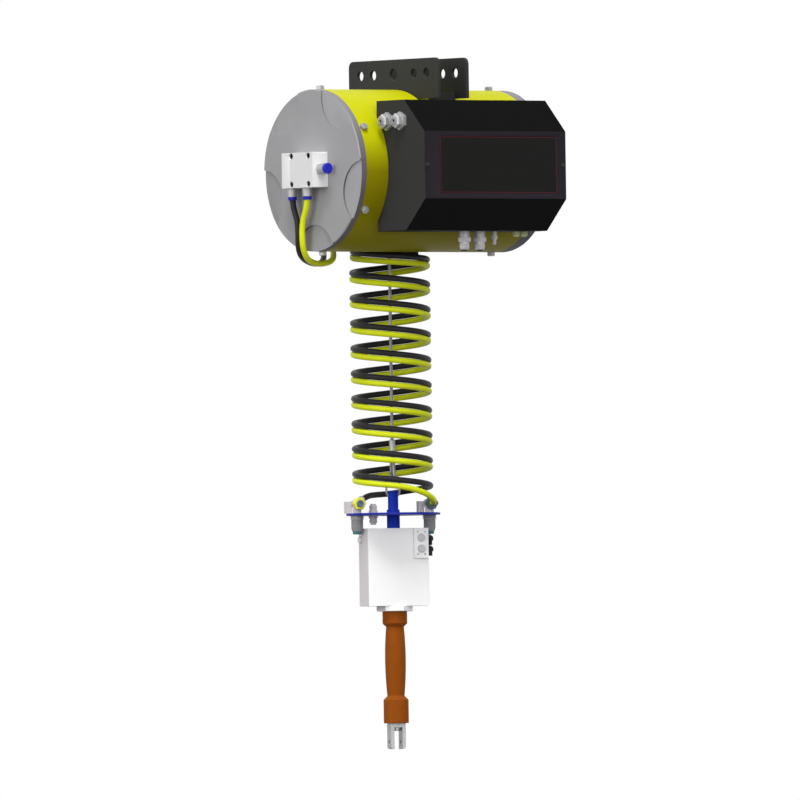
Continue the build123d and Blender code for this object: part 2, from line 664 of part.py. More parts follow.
def fitting_collets():
    side_body = SIDE_FITTING_LENGTH - COLLET_LENGTH
    sizes = ((FITTING_BODY, COLLET_DIA), (FITTING_BODY, COLLET_DIA), (side_body, SIDE_COLLET_DIA))
    collets = []
    for length, dia in sizes:
        ring = rod_z(dia / 2, -length - COLLET_LENGTH, -length)
        ring = chamfer(ring.edges().filter_by(GeomType.CIRCLE).sort_by(Axis.Z)[0], 1)
        collets.append(ring)
    bore = rod_z(HOSE_R + SEAT_GAP, -FITTING_BODY - COLLET_LENGTH, -FITTING_BODY)
    collets = [collets[0] - bore, collets[1] - bore,
               collets[2] + rod_z(HOSE_R, -side_body, -side_body * 0.4)]
    return [place * collet for place, collet in zip(fitting_places(), collets)]


# Hose leads from the valve block, round the drum and into the coil

HOSE_START = -BLOCK_HEIGHT / 2 - FITTING_BODY * 0.4
LEAD_X = -LEFT_LENGTH - LEAD_DEPTH
YELLOW_LEAD = [
    (LEAD_X, YELLOW_Y, HOSE_START), (LEAD_X, YELLOW_Y, -60), (-222, 9, -86), (-221.5, 10.5, -124),
    (-211.5, 16, -143), (-192.5, 27, -153.5), (-160, 46, -158), (-127, 66, -151.5),
    (-102, 94, -133), (-87, 122, -103),
    (-76, 143, -64), (-58, 156, -25), (-27, 161.5, 4), (12, 163, 17), (52, 161, 14),
    (86, 156, -10), (101, 149, -48), (95, 140, -88), (68, 132, -117), (30, 127, -131),
    (-6, 125.5, -134), (-36, 117, -139), (-54, 94, -144.5)]
BLACK_LEAD = [
    (LEAD_X, BLACK_Y, HOSE_START), (LEAD_X, BLACK_Y, -60), (-222, 20, -86), (-222, 21.5, -128),
    (-212.5, 28, -149), (-193, 40, -160.5), (-162, 59, -166), (-129, 79.5, -160),
    (-103, 107.5, -139.5), (-87, 135.5, -109),
    (-76, 156, -69), (-57, 169, -31), (-26, 174, -5), (12, 174.5, 5), (46, 171, 2),
    (76, 165, -17), (89, 156, -50), (83.5, 145, -83), (60, 136, -107), (28, 128, -119.5),
    (-6, 125.5, -123), (-36, 117, -128), (-54, 94, -134)]


def rope_guide():
    half = GUIDE_SIZE / 2
    guide = block(-half, half, ROPE_RADIUS - half, ROPE_RADIUS + half, -DRUM_R - GUIDE_DROP, -DRUM_R / 2)
    guide -= rod_x(DRUM_R + SEAT_GAP, -half - 1, half + 1)
    guide = chamfer(guide.faces().sort_by(Axis.Z)[0].edges(), 1)
    return guide - rod_z(GUIDE_HOLE / 2, -DRUM_R - GUIDE_DROP - 1, 0, 0, ROPE_RADIUS)


def rope():
    return rod_z(ROPE_R, FERRULE_TOP, 0, 0, ROPE_RADIUS)


def hose_coil():
    coil = rod_z(COIL_RADIUS + HOSE_R, COIL_BOTTOM, COIL_TOP, 0, ROPE_RADIUS)
    return coil - rod_z(COIL_RADIUS - HOSE_R, COIL_BOTTOM, COIL_TOP, 0, ROPE_RADIUS)


# Hose tails from the coil to the disc's fittings

def tail_turn(start_angle, start_z, corners):
    """Corners of a hose's last turn, 45 degrees apart, outside its circle."""
    corner_r = COIL_RADIUS / cos(radians(22.5))
    points = [coil_point(start_angle, start_z, COIL_RADIUS)]
    for i in range(corners):
        angle = start_angle + 22.5 + 45 * i
        points.append(coil_point(angle, start_z - TAIL_TURN * (angle - start_angle) / 360, corner_r))
    return points


def handle_point(x, y, z):
    """A point of the handle unit, drawn about the drum's axis."""
    turn = radians(HANDLE_TURN)
    return (x * cos(turn) - y * sin(turn), ROPE_RADIUS + x * sin(turn) + y * cos(turn), z)


def left_mouth(distance):
    """A point out from the left elbow's mouth."""
    turn, lift = (radians(MOUTH_TURN), radians(MOUTH_LIFT))
    level = distance * cos(lift)
    return handle_point(-FITTING_REACH + level * sin(turn), level * cos(turn),
                        ELBOW_Z + distance * sin(lift))


def right_mouth(distance):
    """A point out from the right elbow's nut."""
    return handle_point(FITTING_REACH, -distance, ELBOW_Z)


LEFT_ANGLE = 143.13
BLACK_TAIL_Z = -507.7
YELLOW_TAIL_Z = -508.4
BLACK_TAIL = tail_turn(LEFT_ANGLE, BLACK_TAIL_Z, 5) + [
    (60, 94, -536.5), (27, 112.5, -542), (-9, 104, -543.5), left_mouth(34), left_mouth(ELBOW_REAR)]
YELLOW_TAIL = tail_turn(LEFT_ANGLE - 90, YELLOW_TAIL_Z, 4) + [
    (-22, -2, -531.5), (21, -8, -543.5), right_mouth(37), right_mouth(ELBOW_FRONT)]


# Rope end and stem

def ferrule():
    body = rod_z(FERRULE_DIA / 2, FERRULE_BOTTOM, FERRULE_TOP)
    return chamfer(body.edges().filter_by(GeomType.CIRCLE), 1.2)


def rope_loop():
    """The rope's end, bent round the thimble and back into the ferrule."""
    top = FERRULE_BOTTOM - 2 * SEAT_GAP
    start = ROPE_R + SEAT_GAP / 2
    points = [(0, -start, top), (0, -LOOP_HALF, LOOP_BOTTOM), (0, LOOP_HALF, LOOP_BOTTOM), (0, start, top)]
    path = FilletPolyline(*points, radius=LOOP_RADIUS)
    return sweep(Plane(origin=path @ 0, z_dir=path % 0) * Circle(ROPE_R), path=path)


def rope_thimble():
    """The saddle inside the loop's bend."""
    outer = LOOP_RADIUS - ROPE_R - SEAT_GAP
    eye_z = LOOP_BOTTOM + LOOP_RADIUS
    return rod_x(outer, -ROPE_R, ROPE_R, 0, eye_z) - rod_x(outer - THIMBLE_WALL, -ROPE_R, ROPE_R, 0, eye_z)


def link_ring(wire):
    """An oval ring in the XZ plane."""
    bend = (LINK_WIDTH - LINK_WIRE) / 2
    straight = LINK_HEIGHT - LINK_WIDTH
    middle = LINK_TOP - LINK_HEIGHT / 2
    ring = Pos(0, 0, straight / 2) * Rot(90, 0, 0) * Torus(bend, wire / 2)
    ring -= block(-LINK_WIDTH, LINK_WIDTH, -wire, wire, -LINK_WIDTH, straight / 2)
    low = mirror(ring, about=Plane.XY)
    for x in (-bend, bend):
        ring += rod_z(wire / 2, -straight / 2, straight / 2, x)
    return Pos(0, 0, middle) * (ring + low)


def chain_link():
    return link_ring(LINK_WIRE)


def stem():
    body = rod_z(STEM_DIA / 2, SLEEVE_TOP, STEM_TOP)
    body = chamfer(body.edges().filter_by(GeomType.CIRCLE).sort_by(Axis.Z)[-1], 1)
    body += rod_z(SLEEVE_DIA / 2, HANDLE_BOX_TOP, SLEEVE_TOP)
    return body - link_ring(LINK_WIRE + 2 * SEAT_GAP)


def disc():
    plate = rod_z(DISC_DIA / 2, DISC_BOTTOM, DISC_TOP)
    plate -= rod_z(SLEEVE_DIA / 2 + SEAT_GAP, DISC_BOTTOM, DISC_TOP)
    for x in (-FITTING_REACH, FITTING_REACH):
        plate -= rod_z(ELBOW_DIA / 2 + SEAT_GAP, DISC_BOTTOM, DISC_TOP, x)
    return plate - rod_z(DISC_GLAND_DIA / 4 + SEAT_GAP, DISC_BOTTOM, DISC_TOP, DISC_GLAND_X)


# Fittings on the disc

def bulkhead_bodies():
    bodies = []
    bottom = DISC_BOTTOM - BULKHEAD_LENGTH
    r = BULKHEAD_DIA / 2
    outline = [(0, DISC_BOTTOM), (r + 0.8, DISC_BOTTOM), (r + 0.8, DISC_BOTTOM - 4),
               (r, DISC_BOTTOM - 4), (r, bottom + 6), (BULKHEAD_TIP / 2, bottom), (0, bottom)]
    for x in (-FITTING_REACH, FITTING_REACH):
        body = Pos(x, 0, 0) * turned(outline)
        body += rod_z(ELBOW_DIA / 2, DISC_BOTTOM, DISC_TOP, x)
        bodies.append(body)
    return bodies


def bulkhead_tips():
    bottom = DISC_BOTTOM - BULKHEAD_LENGTH
    tips = []
    for x in (-FITTING_REACH, FITTING_REACH):
        tip = rod_z(BULKHEAD_TIP / 2 - 1, bottom - TIP_LENGTH, bottom, x)
        tips.append(chamfer(tip.edges().filter_by(GeomType.CIRCLE).sort_by(Axis.Z)[0], 1))
    return tips


def disc_elbows():
    """Two elbows, each with a square foot beside it. The left one takes the hose at its back."""
    elbows = []
    bore = HOSE_R + SEAT_GAP
    for x in (-FITTING_REACH, FITTING_REACH):
        elbow = rod_z(ELBOW_SHANK / 2, DISC_TOP, ELBOW_Z, x)
        elbow += rod_y(ELBOW_DIA / 2, -ELBOW_FRONT, ELBOW_DIA / 2 + 1, x, ELBOW_Z)
        if x < 0:
            elbow += rod_y(HOSE_R, -ELBOW_FRONT - ELBOW_NUT - 1.5, -ELBOW_FRONT, x, ELBOW_Z)
            mouth = rod_y(ELBOW_DIA / 2 - 1, 0, ELBOW_MOUTH) - rod_y(bore, ELBOW_REAR, ELBOW_MOUTH)
            elbow += Pos(x, 0, ELBOW_Z) * Rot(0, 0, -MOUTH_TURN) * Rot(MOUTH_LIFT, 0, 0) * mouth
        right = x - ELBOW_DIA / 2 - SEAT_GAP
        foot = block(right - 9, right, 2, 16, DISC_TOP, DISC_TOP + 20)
        elbows += [elbow, foot]
    return elbows


def elbow_nut(x):
    nut = Pos(x, -ELBOW_FRONT, ELBOW_Z) * Rot(90, 0, 0) * hexagon(ELBOW_NUT_FLATS, ELBOW_NUT)
    nut = chamfer(nut.faces().sort_by(Axis.Y)[0].edges(), 1)
    return nut - rod_y(HOSE_R + SEAT_GAP, -ELBOW_FRONT - ELBOW_NUT - 1, -ELBOW_FRONT, x, ELBOW_Z)


def disc_gland():
    gland = rod_z(DISC_GLAND_DIA / 4, DISC_BOTTOM, DISC_TOP)
    for side, face in ((1, DISC_TOP), (-1, DISC_BOTTOM)):
        half = hexagon(14, 5) + rod_z(DISC_GLAND_DIA / 2 - 2, 5, 8) + Pos(0, 0, 8) * hexagon(12, 5)
        half += rod_z(4.5, 13, 16)
        gland += Pos(0, 0, face) * (half if side > 0 else mirror(half, about=Plane.XY))
    return Pos(DISC_GLAND_X, 0, 0) * gland


# Handle box

def handle_box():
    half = HANDLE_BOX_LENGTH / 2
    wall = HANDLE_BOX_WALL
    back = -HANDLE_FRONT - wall
    case = block(-half, half, HANDLE_FRONT, back, HANDLE_BOX_BOTTOM, HANDLE_BOX_TOP)
    case = fillet(case.edges().filter_by(Axis.Z).group_by(Axis.Y)[0], HANDLE_BOX_EDGE)
    case -= block(-half + wall, half - wall, HANDLE_FRONT + wall, back,
                  HANDLE_BOX_BOTTOM + wall, HANDLE_BOX_TOP - wall)
    case -= rod_z(SPINDLE_DIA / 2 + SEAT_GAP, HANDLE_BOX_BOTTOM - 1, HANDLE_BOX_BOTTOM + wall)
    for z in (RAISE_BUTTON_Z, LOWER_BUTTON_Z):
        case -= rod_y(BUTTON_STEM / 2 + SLIDE_GAP, HANDLE_FRONT - 1, HANDLE_FRONT + wall, BUTTON_X, z)
    for x in (-half + COVER_SCREW_INSET, half - COVER_SCREW_INSET):
        for z in (HANDLE_BOX_BOTTOM + COVER_SCREW_INSET, HANDLE_BOX_TOP - COVER_SCREW_INSET):
            post = rod_y(POST_DIA / 2, HANDLE_FRONT + wall, back, x, z)
            case += post - rod_y(1.8, back - 12, back, x, z)
    return case


def handle_box_cover():
    half = HANDLE_BOX_LENGTH / 2
    back = -HANDLE_FRONT
    cover = block(-half, half, back - HANDLE_BOX_WALL, back, HANDLE_BOX_BOTTOM, HANDLE_BOX_TOP)
    cover = fillet(cover.edges().filter_by(Axis.Z).group_by(Axis.Y)[-1], HANDLE_BOX_EDGE)
    for x in (-half + COVER_SCREW_INSET, half - COVER_SCREW_INSET):
        for z in (HANDLE_BOX_BOTTOM + COVER_SCREW_INSET, HANDLE_BOX_TOP - COVER_SCREW_INSET):
            cover -= rod_y(1.8, back - HANDLE_BOX_WALL, back, x, z)
    return cover


def handle_box_screws():
    """Four screws in the cover and four in the button block."""
    half = HANDLE_BOX_LENGTH / 2
    back = -HANDLE_FRONT
    screws = []
    for x in (-half + COVER_SCREW_INSET, half - COVER_SCREW_INSET):
        for z in (HANDLE_BOX_BOTTOM + COVER_SCREW_INSET, HANDLE_BOX_TOP - COVER_SCREW_INSET):
            screws.append(rod_y(3, back, back + 2, x, z) + rod_y(1.5, back - 10, back, x, z))
    for x, z in block_screw_places():
        screws.append(rod_y(2, BLOCK_FACE_Y - 0.8, BLOCK_FACE_Y, x, z))
    return screws


def handle_box_nut():
    """The hexagonal collar under the box, which the grip slides into."""
    nut = Rot(0, 0, -20) * hexagon(HEX_NUT_FLATS, HEX_NUT_HEIGHT)
    nut = chamfer(nut.faces().sort_by(Axis.Z)[0].edges(), 1)
    nut -= rod_z(TOP_COLLAR_DIA / 2 + SLIDE_GAP, 0, HEX_NUT_HEIGHT)
    return Pos(0, 0, HANDLE_BOX_BOTTOM - HEX_NUT_HEIGHT) * nut


def button_block():
    right = BUTTON_BLOCK_LEFT + BUTTON_BLOCK_WIDTH
    body = block(BUTTON_BLOCK_LEFT, right, BLOCK_FACE_Y, HANDLE_FRONT,
                 HANDLE_BOX_TOP - BUTTON_BLOCK_HEIGHT, HANDLE_BOX_TOP)
    body = fillet(body.edges().filter_by(Axis.Y), 1)
    for z in (RAISE_BUTTON_Z, LOWER_BUTTON_Z):
        body -= rod_y(BUTTON_DIA / 2 + SLIDE_GAP, BLOCK_FACE_Y - 1, HANDLE_FRONT - 0.6, BUTTON_X, z)
        body -= rod_y(BUTTON_STEM / 2 + SLIDE_GAP, BLOCK_FACE_Y, HANDLE_FRONT, BUTTON_X, z)
    return body


def block_screw_places():
    middle = (RAISE_BUTTON_Z + LOWER_BUTTON_Z) / 2
    dx, dz = (BLOCK_SCREW_SPAN[0] / 2, BLOCK_SCREW_SPAN[1] / 2)
    return [(BUTTON_X + sx * dx, middle + sz * dz) for sx in (-1, 1) for sz in (-1, 1)]


def push_button(z):
    front = BLOCK_FACE_Y - BUTTON_PROUD
    cap = rod_y(BUTTON_DIA / 2, front, front + BUTTON_CAP, BUTTON_X, z)
    cap = chamfer(cap.edges().filter_by(GeomType.CIRCLE).sort_by(Axis.Y)[0], 0.8)
    return cap + rod_y(BUTTON_STEM / 2, front + BUTTON_CAP, HANDLE_FRONT + HANDLE_BOX_WALL + 4, BUTTON_X, z)


def button_valves():
    """Two plunger valves in one body behind the buttons."""
    front = HANDLE_FRONT + HANDLE_BOX_WALL
    right = HANDLE_BOX_LENGTH / 2 - COVER_SCREW_INSET - 2 * SLIDE_GAP - POST_DIA / 2
    body = block(BUTTON_X - 10, right, front, front + 18, LOWER_BUTTON_Z - 9, RAISE_BUTTON_Z + 9)
    for z in (RAISE_BUTTON_Z, LOWER_BUTTON_Z):
        body -= rod_y(BUTTON_STEM / 2 + SLIDE_GAP, front - 1, front + 5 + BUTTON_TRAVEL, BUTTON_X, z)
    return body


def signal_elbows():
    """The small black elbows on the box's right side, mouths down."""
    side = HANDLE_BOX_LENGTH / 2
    elbows = []
    for z in SIGNAL_ELBOW_Z:
        near = side + SIGNAL_ELBOW_NECK
        elbow = block(near, near + 1.25 * SIGNAL_ELBOW_DIA, -SIGNAL_ELBOW_DIA / 2 - 0.2,
                      SIGNAL_ELBOW_DIA / 2 + 0.2, z - 1, z + 8)
        elbow = fillet(elbow.edges().filter_by(Axis.Y).group_by(Axis.Z)[-1].sort_by(Axis.X)[-1], 5)
        elbow += rod_x(SIGNAL_ELBOW_DIA / 2 - 1, side, near, 0, z + 3)
        elbows.append(elbow + rod_z(SIGNAL_ELBOW_DIA / 2, z - 8.5, z - 1, near + 0.7 * SIGNAL_ELBOW_DIA))
    return elbows


def side_boss():
    side = -HANDLE_BOX_LENGTH / 2
    boss = rod_x(6, side - 3.5, side, -HANDLE_FRONT - 12, RAISE_BUTTON_Z - 3)
    return chamfer(boss.edges().filter_by(GeomType.CIRCLE).sort_by(Axis.X)[0], 0.8)


# Grip and clevis

def spindle():
    inside = HANDLE_BOX_BOTTOM + HANDLE_BOX_WALL
    shoulder = CLEVIS_TOP + SLIDE_GAP
    pivot_end = CLEVIS_TOP - CLEVIS_WEB - SLIDE_GAP - PIVOT_NUT
    body = rod_z(SPINDLE_DIA / 2, shoulder, inside)
    body += rod_z(SPINDLE_HEAD_DIA / 2, inside, inside + SPINDLE_HEAD)
    return body + rod_z(PIVOT_DIA / 2, pivot_end, shoulder)


def pivot_nut():
    top = CLEVIS_TOP - CLEVIS_WEB - SLIDE_GAP
    nut = rod_z(PIVOT_NUT_DIA / 2, top - PIVOT_NUT, top)
    nut = chamfer(nut.edges().filter_by(GeomType.CIRCLE).sort_by(Axis.Z)[0], 1)
    return nut - rod_z(PIVOT_DIA / 2, top - PIVOT_NUT, top)


def grip():
    neck_z = GRIP_TOP - NECK_BELOW
    wrist_z = GRIP_TOP - WRIST_BELOW
    collar_z = GRIP_TOP - TOP_COLLAR
    low_z = GRIP_BOTTOM + BOTTOM_COLLAR
    top_r, low_r = (TOP_COLLAR_DIA / 2, BOTTOM_COLLAR_DIA / 2)
    upper = Polyline((0, 0, GRIP_TOP), (top_r, 0, GRIP_TOP), (top_r, 0, collar_z),
                     (NECK_DIA / 2, 0, neck_z))
    belly = ThreePointArc((NECK_DIA / 2, 0, neck_z), (BELLY_DIA / 2, 0, GRIP_TOP - BELLY_BELOW),
                          (WRIST_DIA / 2, 0, wrist_z))
    lower = Polyline((WRIST_DIA / 2, 0, wrist_z), (low_r - 2, 0, low_z), (low_r, 0, low_z - 2),
                     (low_r, 0, GRIP_BOTTOM), (0, 0, GRIP_BOTTOM), (0, 0, GRIP_TOP))
    body = revolve(make_face(Curve() + [upper, belly, lower]), Axis.Z)
    body -= rod_z(SPINDLE_DIA / 2 + SLIDE_GAP, GRIP_BOTTOM, GRIP_TOP)
    clevis_r = sqrt(CLEVIS_LENGTH ** 2 + CLEVIS_WIDTH ** 2) / 2 + SLIDE_GAP
    return body - rod_z(clevis_r, GRIP_BOTTOM, GRIP_BOTTOM + GRIP_TRAVEL + 1)


def clevis():
    half, deep = (CLEVIS_LENGTH / 2, CLEVIS_WIDTH / 2)
    body = block(-half, half, -deep, deep, CLEVIS_BOTTOM, CLEVIS_TOP)
    body = fillet(body.edges().filter_by(Axis.Y).group_by(Axis.Z)[0], CLEVIS_CORNER)
    slot = CLEVIS_SLOT / 2
    body -= block(-slot, slot, -deep - 1, deep + 1, CLEVIS_BOTTOM - 1, CLEVIS_TOP - CLEVIS_WEB)
    body -= rod_x(CLEVIS_PIN_DIA / 2, -half - 1, half + 1, 0, CLEVIS_TOP - CLEVIS_PIN_DEPTH)
    return body - rod_z(PIVOT_DIA / 2 + SHAFT_GAP, CLEVIS_TOP - CLEVIS_WEB, CLEVIS_TOP)


DRUM_NODES = {
    "drum_shell": drum_shell, "left_cap": left_cap, "right_cap": right_cap,
    "cap_bolts": lambda: cap_bolts(BOLT_ROWS[0]) + cap_bolts(BOLT_ROWS[1]),
    "screw_end_bolt": screw_end_bolt, "ball_screw": ball_screw, "bumper": bumper,
    "piston": piston, "piston_seal": piston_seal, "thrust_bearing": thrust_bearing,
    "reel": reel, "ball_nut": ball_nut, "rope_wraps": rope_wraps,
    "left_hanger_plate": lambda: hanger_plate(-PLATE_IN - PLATE_THICK),
    "right_hanger_plate": lambda: hanger_plate(PLATE_IN),
    "hanger_ties": lambda: [hanger_tie(-1), hanger_tie(1)],
    "control_box": control_box, "front_panel": front_panel, "side_glands": side_glands,
    "bottom_glands": bottom_glands, "silencers": silencers,
    "control_board": control_board, "proportional_valve": proportional_valve,
    "valve_block": valve_block, "valve_block_screws": valve_block_screws,
    "block_fittings": block_fittings, "fitting_collets": fitting_collets,
    "black_hose_lead": lambda: hose(BLACK_LEAD), "yellow_hose_lead": lambda: hose(YELLOW_LEAD),
    "rope_guide": rope_guide, "rope": rope, "hose_coil": hose_coil,
    "black_hose_tail": lambda: hose(BLACK_TAIL), "yellow_hose_tail": lambda: hose(YELLOW_TAIL),
}

HANDLE_NODES = {
    "ferrule": ferrule, "rope_loop": rope_loop, "rope_thimble": rope_thimble,
    "chain_link": chain_link, "stem": stem, "disc": disc,
    "bulkhead_bodies": bulkhead_bodies, "bulkhead_tips": bulkhead_tips,
    "disc_elbows": disc_elbows,
    "left_elbow_nut": lambda: elbow_nut(-FITTING_REACH),
    "right_elbow_nut": lambda: elbow_nut(FITTING_REACH),
    "disc_gland": disc_gland, "handle_box": handle_box, "handle_box_cover": handle_box_cover,
    "handle_box_screws": handle_box_screws, "handle_box_nut": handle_box_nut,
    "button_block": button_block,
    "raise_button": lambda: push_button(RAISE_BUTTON_Z),
    "lower_button": lambda: push_button(LOWER_BUTTON_Z), "button_valves": button_valves,
    "signal_elbows": signal_elbows, "side_boss": side_boss,
    "spindle": spindle, "pivot_nut": pivot_nut, "grip": grip, "clevis": clevis,
}

os.makedirs("parts", exist_ok=True)
for nodes, place in ((DRUM_NODES, DRUM_PLACE), (HANDLE_NODES, HANDLE_PLACE)):
    for name, make in nodes.items():
        made = make()
        solids = made if isinstance(made, list) else [made]
        export_step(Compound([place * solid for solid in solids]), f"parts/{name}.step")
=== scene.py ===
import bpy
import bmesh
import json
from math import atan2, cos, pi, radians, sin, tau
from mathutils import Matrix, Vector


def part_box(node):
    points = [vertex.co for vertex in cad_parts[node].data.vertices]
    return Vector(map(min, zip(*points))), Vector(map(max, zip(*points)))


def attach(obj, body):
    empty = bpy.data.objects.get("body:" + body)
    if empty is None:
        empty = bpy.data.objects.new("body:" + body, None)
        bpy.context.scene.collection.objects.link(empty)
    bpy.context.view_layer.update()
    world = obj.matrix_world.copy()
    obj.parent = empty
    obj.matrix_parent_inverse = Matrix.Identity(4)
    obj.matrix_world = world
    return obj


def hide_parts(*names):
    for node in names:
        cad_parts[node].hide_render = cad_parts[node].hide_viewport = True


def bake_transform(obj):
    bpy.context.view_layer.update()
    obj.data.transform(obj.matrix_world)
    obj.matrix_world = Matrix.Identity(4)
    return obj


# Air balancer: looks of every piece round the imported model. Metres, in the frame of the
# model: the origin is the hanger's middle hole, -Y is the control box's side, Z is up.
# Places of the drawing are in millimetres, with their heights counted from the drum's axis.

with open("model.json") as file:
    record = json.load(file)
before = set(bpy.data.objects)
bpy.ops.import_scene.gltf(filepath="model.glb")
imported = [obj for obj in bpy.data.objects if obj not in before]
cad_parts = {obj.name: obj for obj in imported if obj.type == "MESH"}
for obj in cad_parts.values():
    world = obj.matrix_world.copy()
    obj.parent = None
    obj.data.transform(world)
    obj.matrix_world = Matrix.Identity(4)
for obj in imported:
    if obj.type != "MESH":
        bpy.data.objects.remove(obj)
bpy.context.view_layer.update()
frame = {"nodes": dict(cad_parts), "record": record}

MM = 0.001
HOUSING = "housing"
HANDLE = "handle_unit"
SLOTS = {part["node"]: part["material_slot"] for part in frame["record"]["subparts"]}
BODIES = {node: body for body, nodes in frame["record"]["behaviour"]["bodies"].items()
          for node in nodes}

# Places of the drawing on the housing
DRUM_AXIS = -162.3 * MM
ROPE_Y = 62.0
GUIDE_EXIT = -141.0
SIDE_GLANDS_Y = (-139.0, -175.5)
SIDE_GLANDS_Z = 78.0
SIDE_MOUTH_X = -164.0
BOTTOM_GLANDS_X = (2.5, 35.0)
BOTTOM_GLANDS_Y = -145.0
BOTTOM_MOUTH_Z = -137.0
FACE_SCREW_X = 142.4
FACE_SCREW_Z = 3.0

# Places of the drawing on the handle unit, before its turn about the rope
HANDLE_TURN = radians(-17)
FITTING_REACH = 64.9
ELBOW_Z = -559.0
NUT_FACE_Y = -17.2
BULKHEAD_RINGS_Z = (-581.4, -584.6)
BUTTONS_X = 39.15
BUTTONS_Y = -29.4
BUTTONS_Z = {"raise": -617.0, "lower": -635.9}
STUBS_X = 64.05
STUBS_Z = (-613.4, -631.6)
SIDE_BOSS = (-57.9, 11.4, -620.0)

# Hoses
HOSE_DIA = 10 * MM
HOSE_SIDES = 20

# Which way the left elbow's mouth points, in degrees
MOUTH_TURN = 50.0
MOUTH_LIFT = 22.0

# The coil in the drawing: the heights between which it stretches, the angle at which it starts,
# in degrees, and how far it falls in a turn
COIL_TOP = -140.0
COIL_END = -500.0
COIL_RADIUS = 63.5
COIL_START = 143.13
TURN_FALL = 42.4
CORNERS_PER_TURN = 16

# Each hose's heights at the coil's start, a quarter turn on and half a turn on, and its whole
# sweep, in degrees
YELLOW_STARTS = (-143.5, -152.6, -158.6)
YELLOW_SWEEP = 3307.5
BLACK_STARTS = (-133.0, -142.3, -148.3)
BLACK_SWEEP = 3442.5

# Wire rope. Between two strands its radius is a share of the whole
ROPE_DIA = 5.5 * MM
ROPE_STRANDS = 6
ROPE_LAY = 38.0 * MM
ROPE_VALLEY = 0.84
CORNERS_PER_STRAND = 6
STEPS_PER_LAY = 12

# Other details that only the scene has
PANEL_LINE = 1.4 * MM
PANEL_PROUD = 0.3 * MM
FACE_SCREW_DIA = 7.0 * MM
FACE_SCREW_HEIGHT = 1.6 * MM
FACE_SCREW_MIDDLE = 0.6 * MM

# Shares of a pan head: its top's radius and its rim, by its diameter, and its recess, by its height
PAN_TOP = 0.36
PAN_RIM = 0.16
PAN_RECESS = 0.4

# Meshes: what counts as touching, as flat and as an edge, and how finely round forms are divided
TOUCHING = 0.002 * MM
FLAT_BELOW = radians(0.4)
EDGE_ABOVE = radians(28)
TURNED_STEPS = 40
SCREW_CORNERS = 24
LINE_STEPS = 3

# Camera: what lies in the photograph's middle, the angles from which it is seen, in degrees, the
# real size of a pixel, in millimetres, how far off the camera stands and how far it sees
AIM = Vector((-18.4, 13.7, -548.0)) * MM
AZIMUTH = -36.87
ELEVATION = -1.2
ROLL = radians(-0.86)
PHOTO_PIXELS = 800
PIXEL = 1.685
FRAME_WIDTH = PHOTO_PIXELS * PIXEL * MM
DISTANCE = 55.0
SIGHT = 400.0

# Lamps: azimuth, elevation, strength and width in the sky, with the angles in degrees
LAMPS = {
    "key": (-40, 64, 2.35, 25),
    "front": (-15, 4, 1.5, 60),
    "side": (-85, 6, 1.4, 40),
}

# The sky's light on the object, and the white that the camera, glass and metal see
SKY_LEVEL = 0.5
SKY_WHITE = 1.0
WHITE = (1, 1, 1, 1)

# Floor, lower than the load ever goes
FLOOR_HEIGHT = -2.65
FLOOR_REACH = 200.0
FLOOR_SHADE = 0.15
FLOOR_GLOW = 0.88

# How far a surface faces an axis where a coat turns to the painted light and shade of an end, and to
# the painted shade of a slope; a cast face keeps its own tone above it and takes its painted shade rim
# below it
LIGHT_AND_SHADE_FACING = 0.7
SLOPE_SHADE_FACING = 0.3

# How fast painted shade gives way to a coat's own tone as the surface turns up, and the share of its
# own tone on an upright wall
LIT_SHARE_GAIN = 2.2
LIT_SHARE_UPRIGHT = 0.1

# How dark the clouds in a folded sheet's coat are beside its colour
COAT_SHADE = 0.88


# Node trees

class Wire:
    """A socket whose sums and products add Math nodes."""

    def __init__(self, nodes, socket):
        self.nodes = nodes
        self.socket = socket

    def maths(self, operation, first, second=0.0):
        """The result of a Math node on wires or numbers."""
        made = self.nodes.node("ShaderNodeMath", {"operation": operation}, {0: first, 1: second})
        return Wire(self.nodes, made.outputs[0])

    def __add__(self, other):
        return self.maths("ADD", self, other)

    def __radd__(self, other):
        return self.maths("ADD", other, self)

    def __mul__(self, other):
        return self.maths("MULTIPLY", self, other)

    def __rmul__(self, other):
        return self.maths("MULTIPLY", other, self)

    def over(self, edge):
        """1 where the value is above an edge, and 0 below it."""
        return self.maths("GREATER_THAN", self, edge)

    def larger(self, other):
        """The larger of two values."""
        return self.maths("MAXIMUM", self, other)

    def limited(self):
        """The value held between 0 and 1."""
        return self.maths("MINIMUM", self.larger(0.0), 1.0)

    def size(self):
        """The value without its sign."""
        return self.maths("ABSOLUTE", self)


class Nodes:
    """A node tree while its nodes are added."""

    def __init__(self, tree):
        self.tree = tree
        self.tree.nodes.clear()

    def node(self, kind, settings=None, inputs=None):
        """A new node with its settings, and the values or links of its sockets."""
        made = self.tree.nodes.new(kind)
        for name, value in (settings or {}).items():
            setattr(made, name, value)
        for key, value in (inputs or {}).items():
            self.join(made.inputs[key], value)
        return made

    def join(self, socket, value):
        """A link from a wire or a socket, or a plain value, on a socket."""
        if isinstance(value, Wire):
            value = value.socket
        if isinstance(value, bpy.types.NodeSocket):
            self.tree.links.new(value, socket)
        else:
            socket.default_value = value

    def rays(self, *kinds):
        """For each kind of ray, 1 on its rays and 0 on others."""
        path = self.node("ShaderNodeLightPath")
        return [Wire(self, path.outputs[f"Is {kind} Ray"]) for kind in kinds]


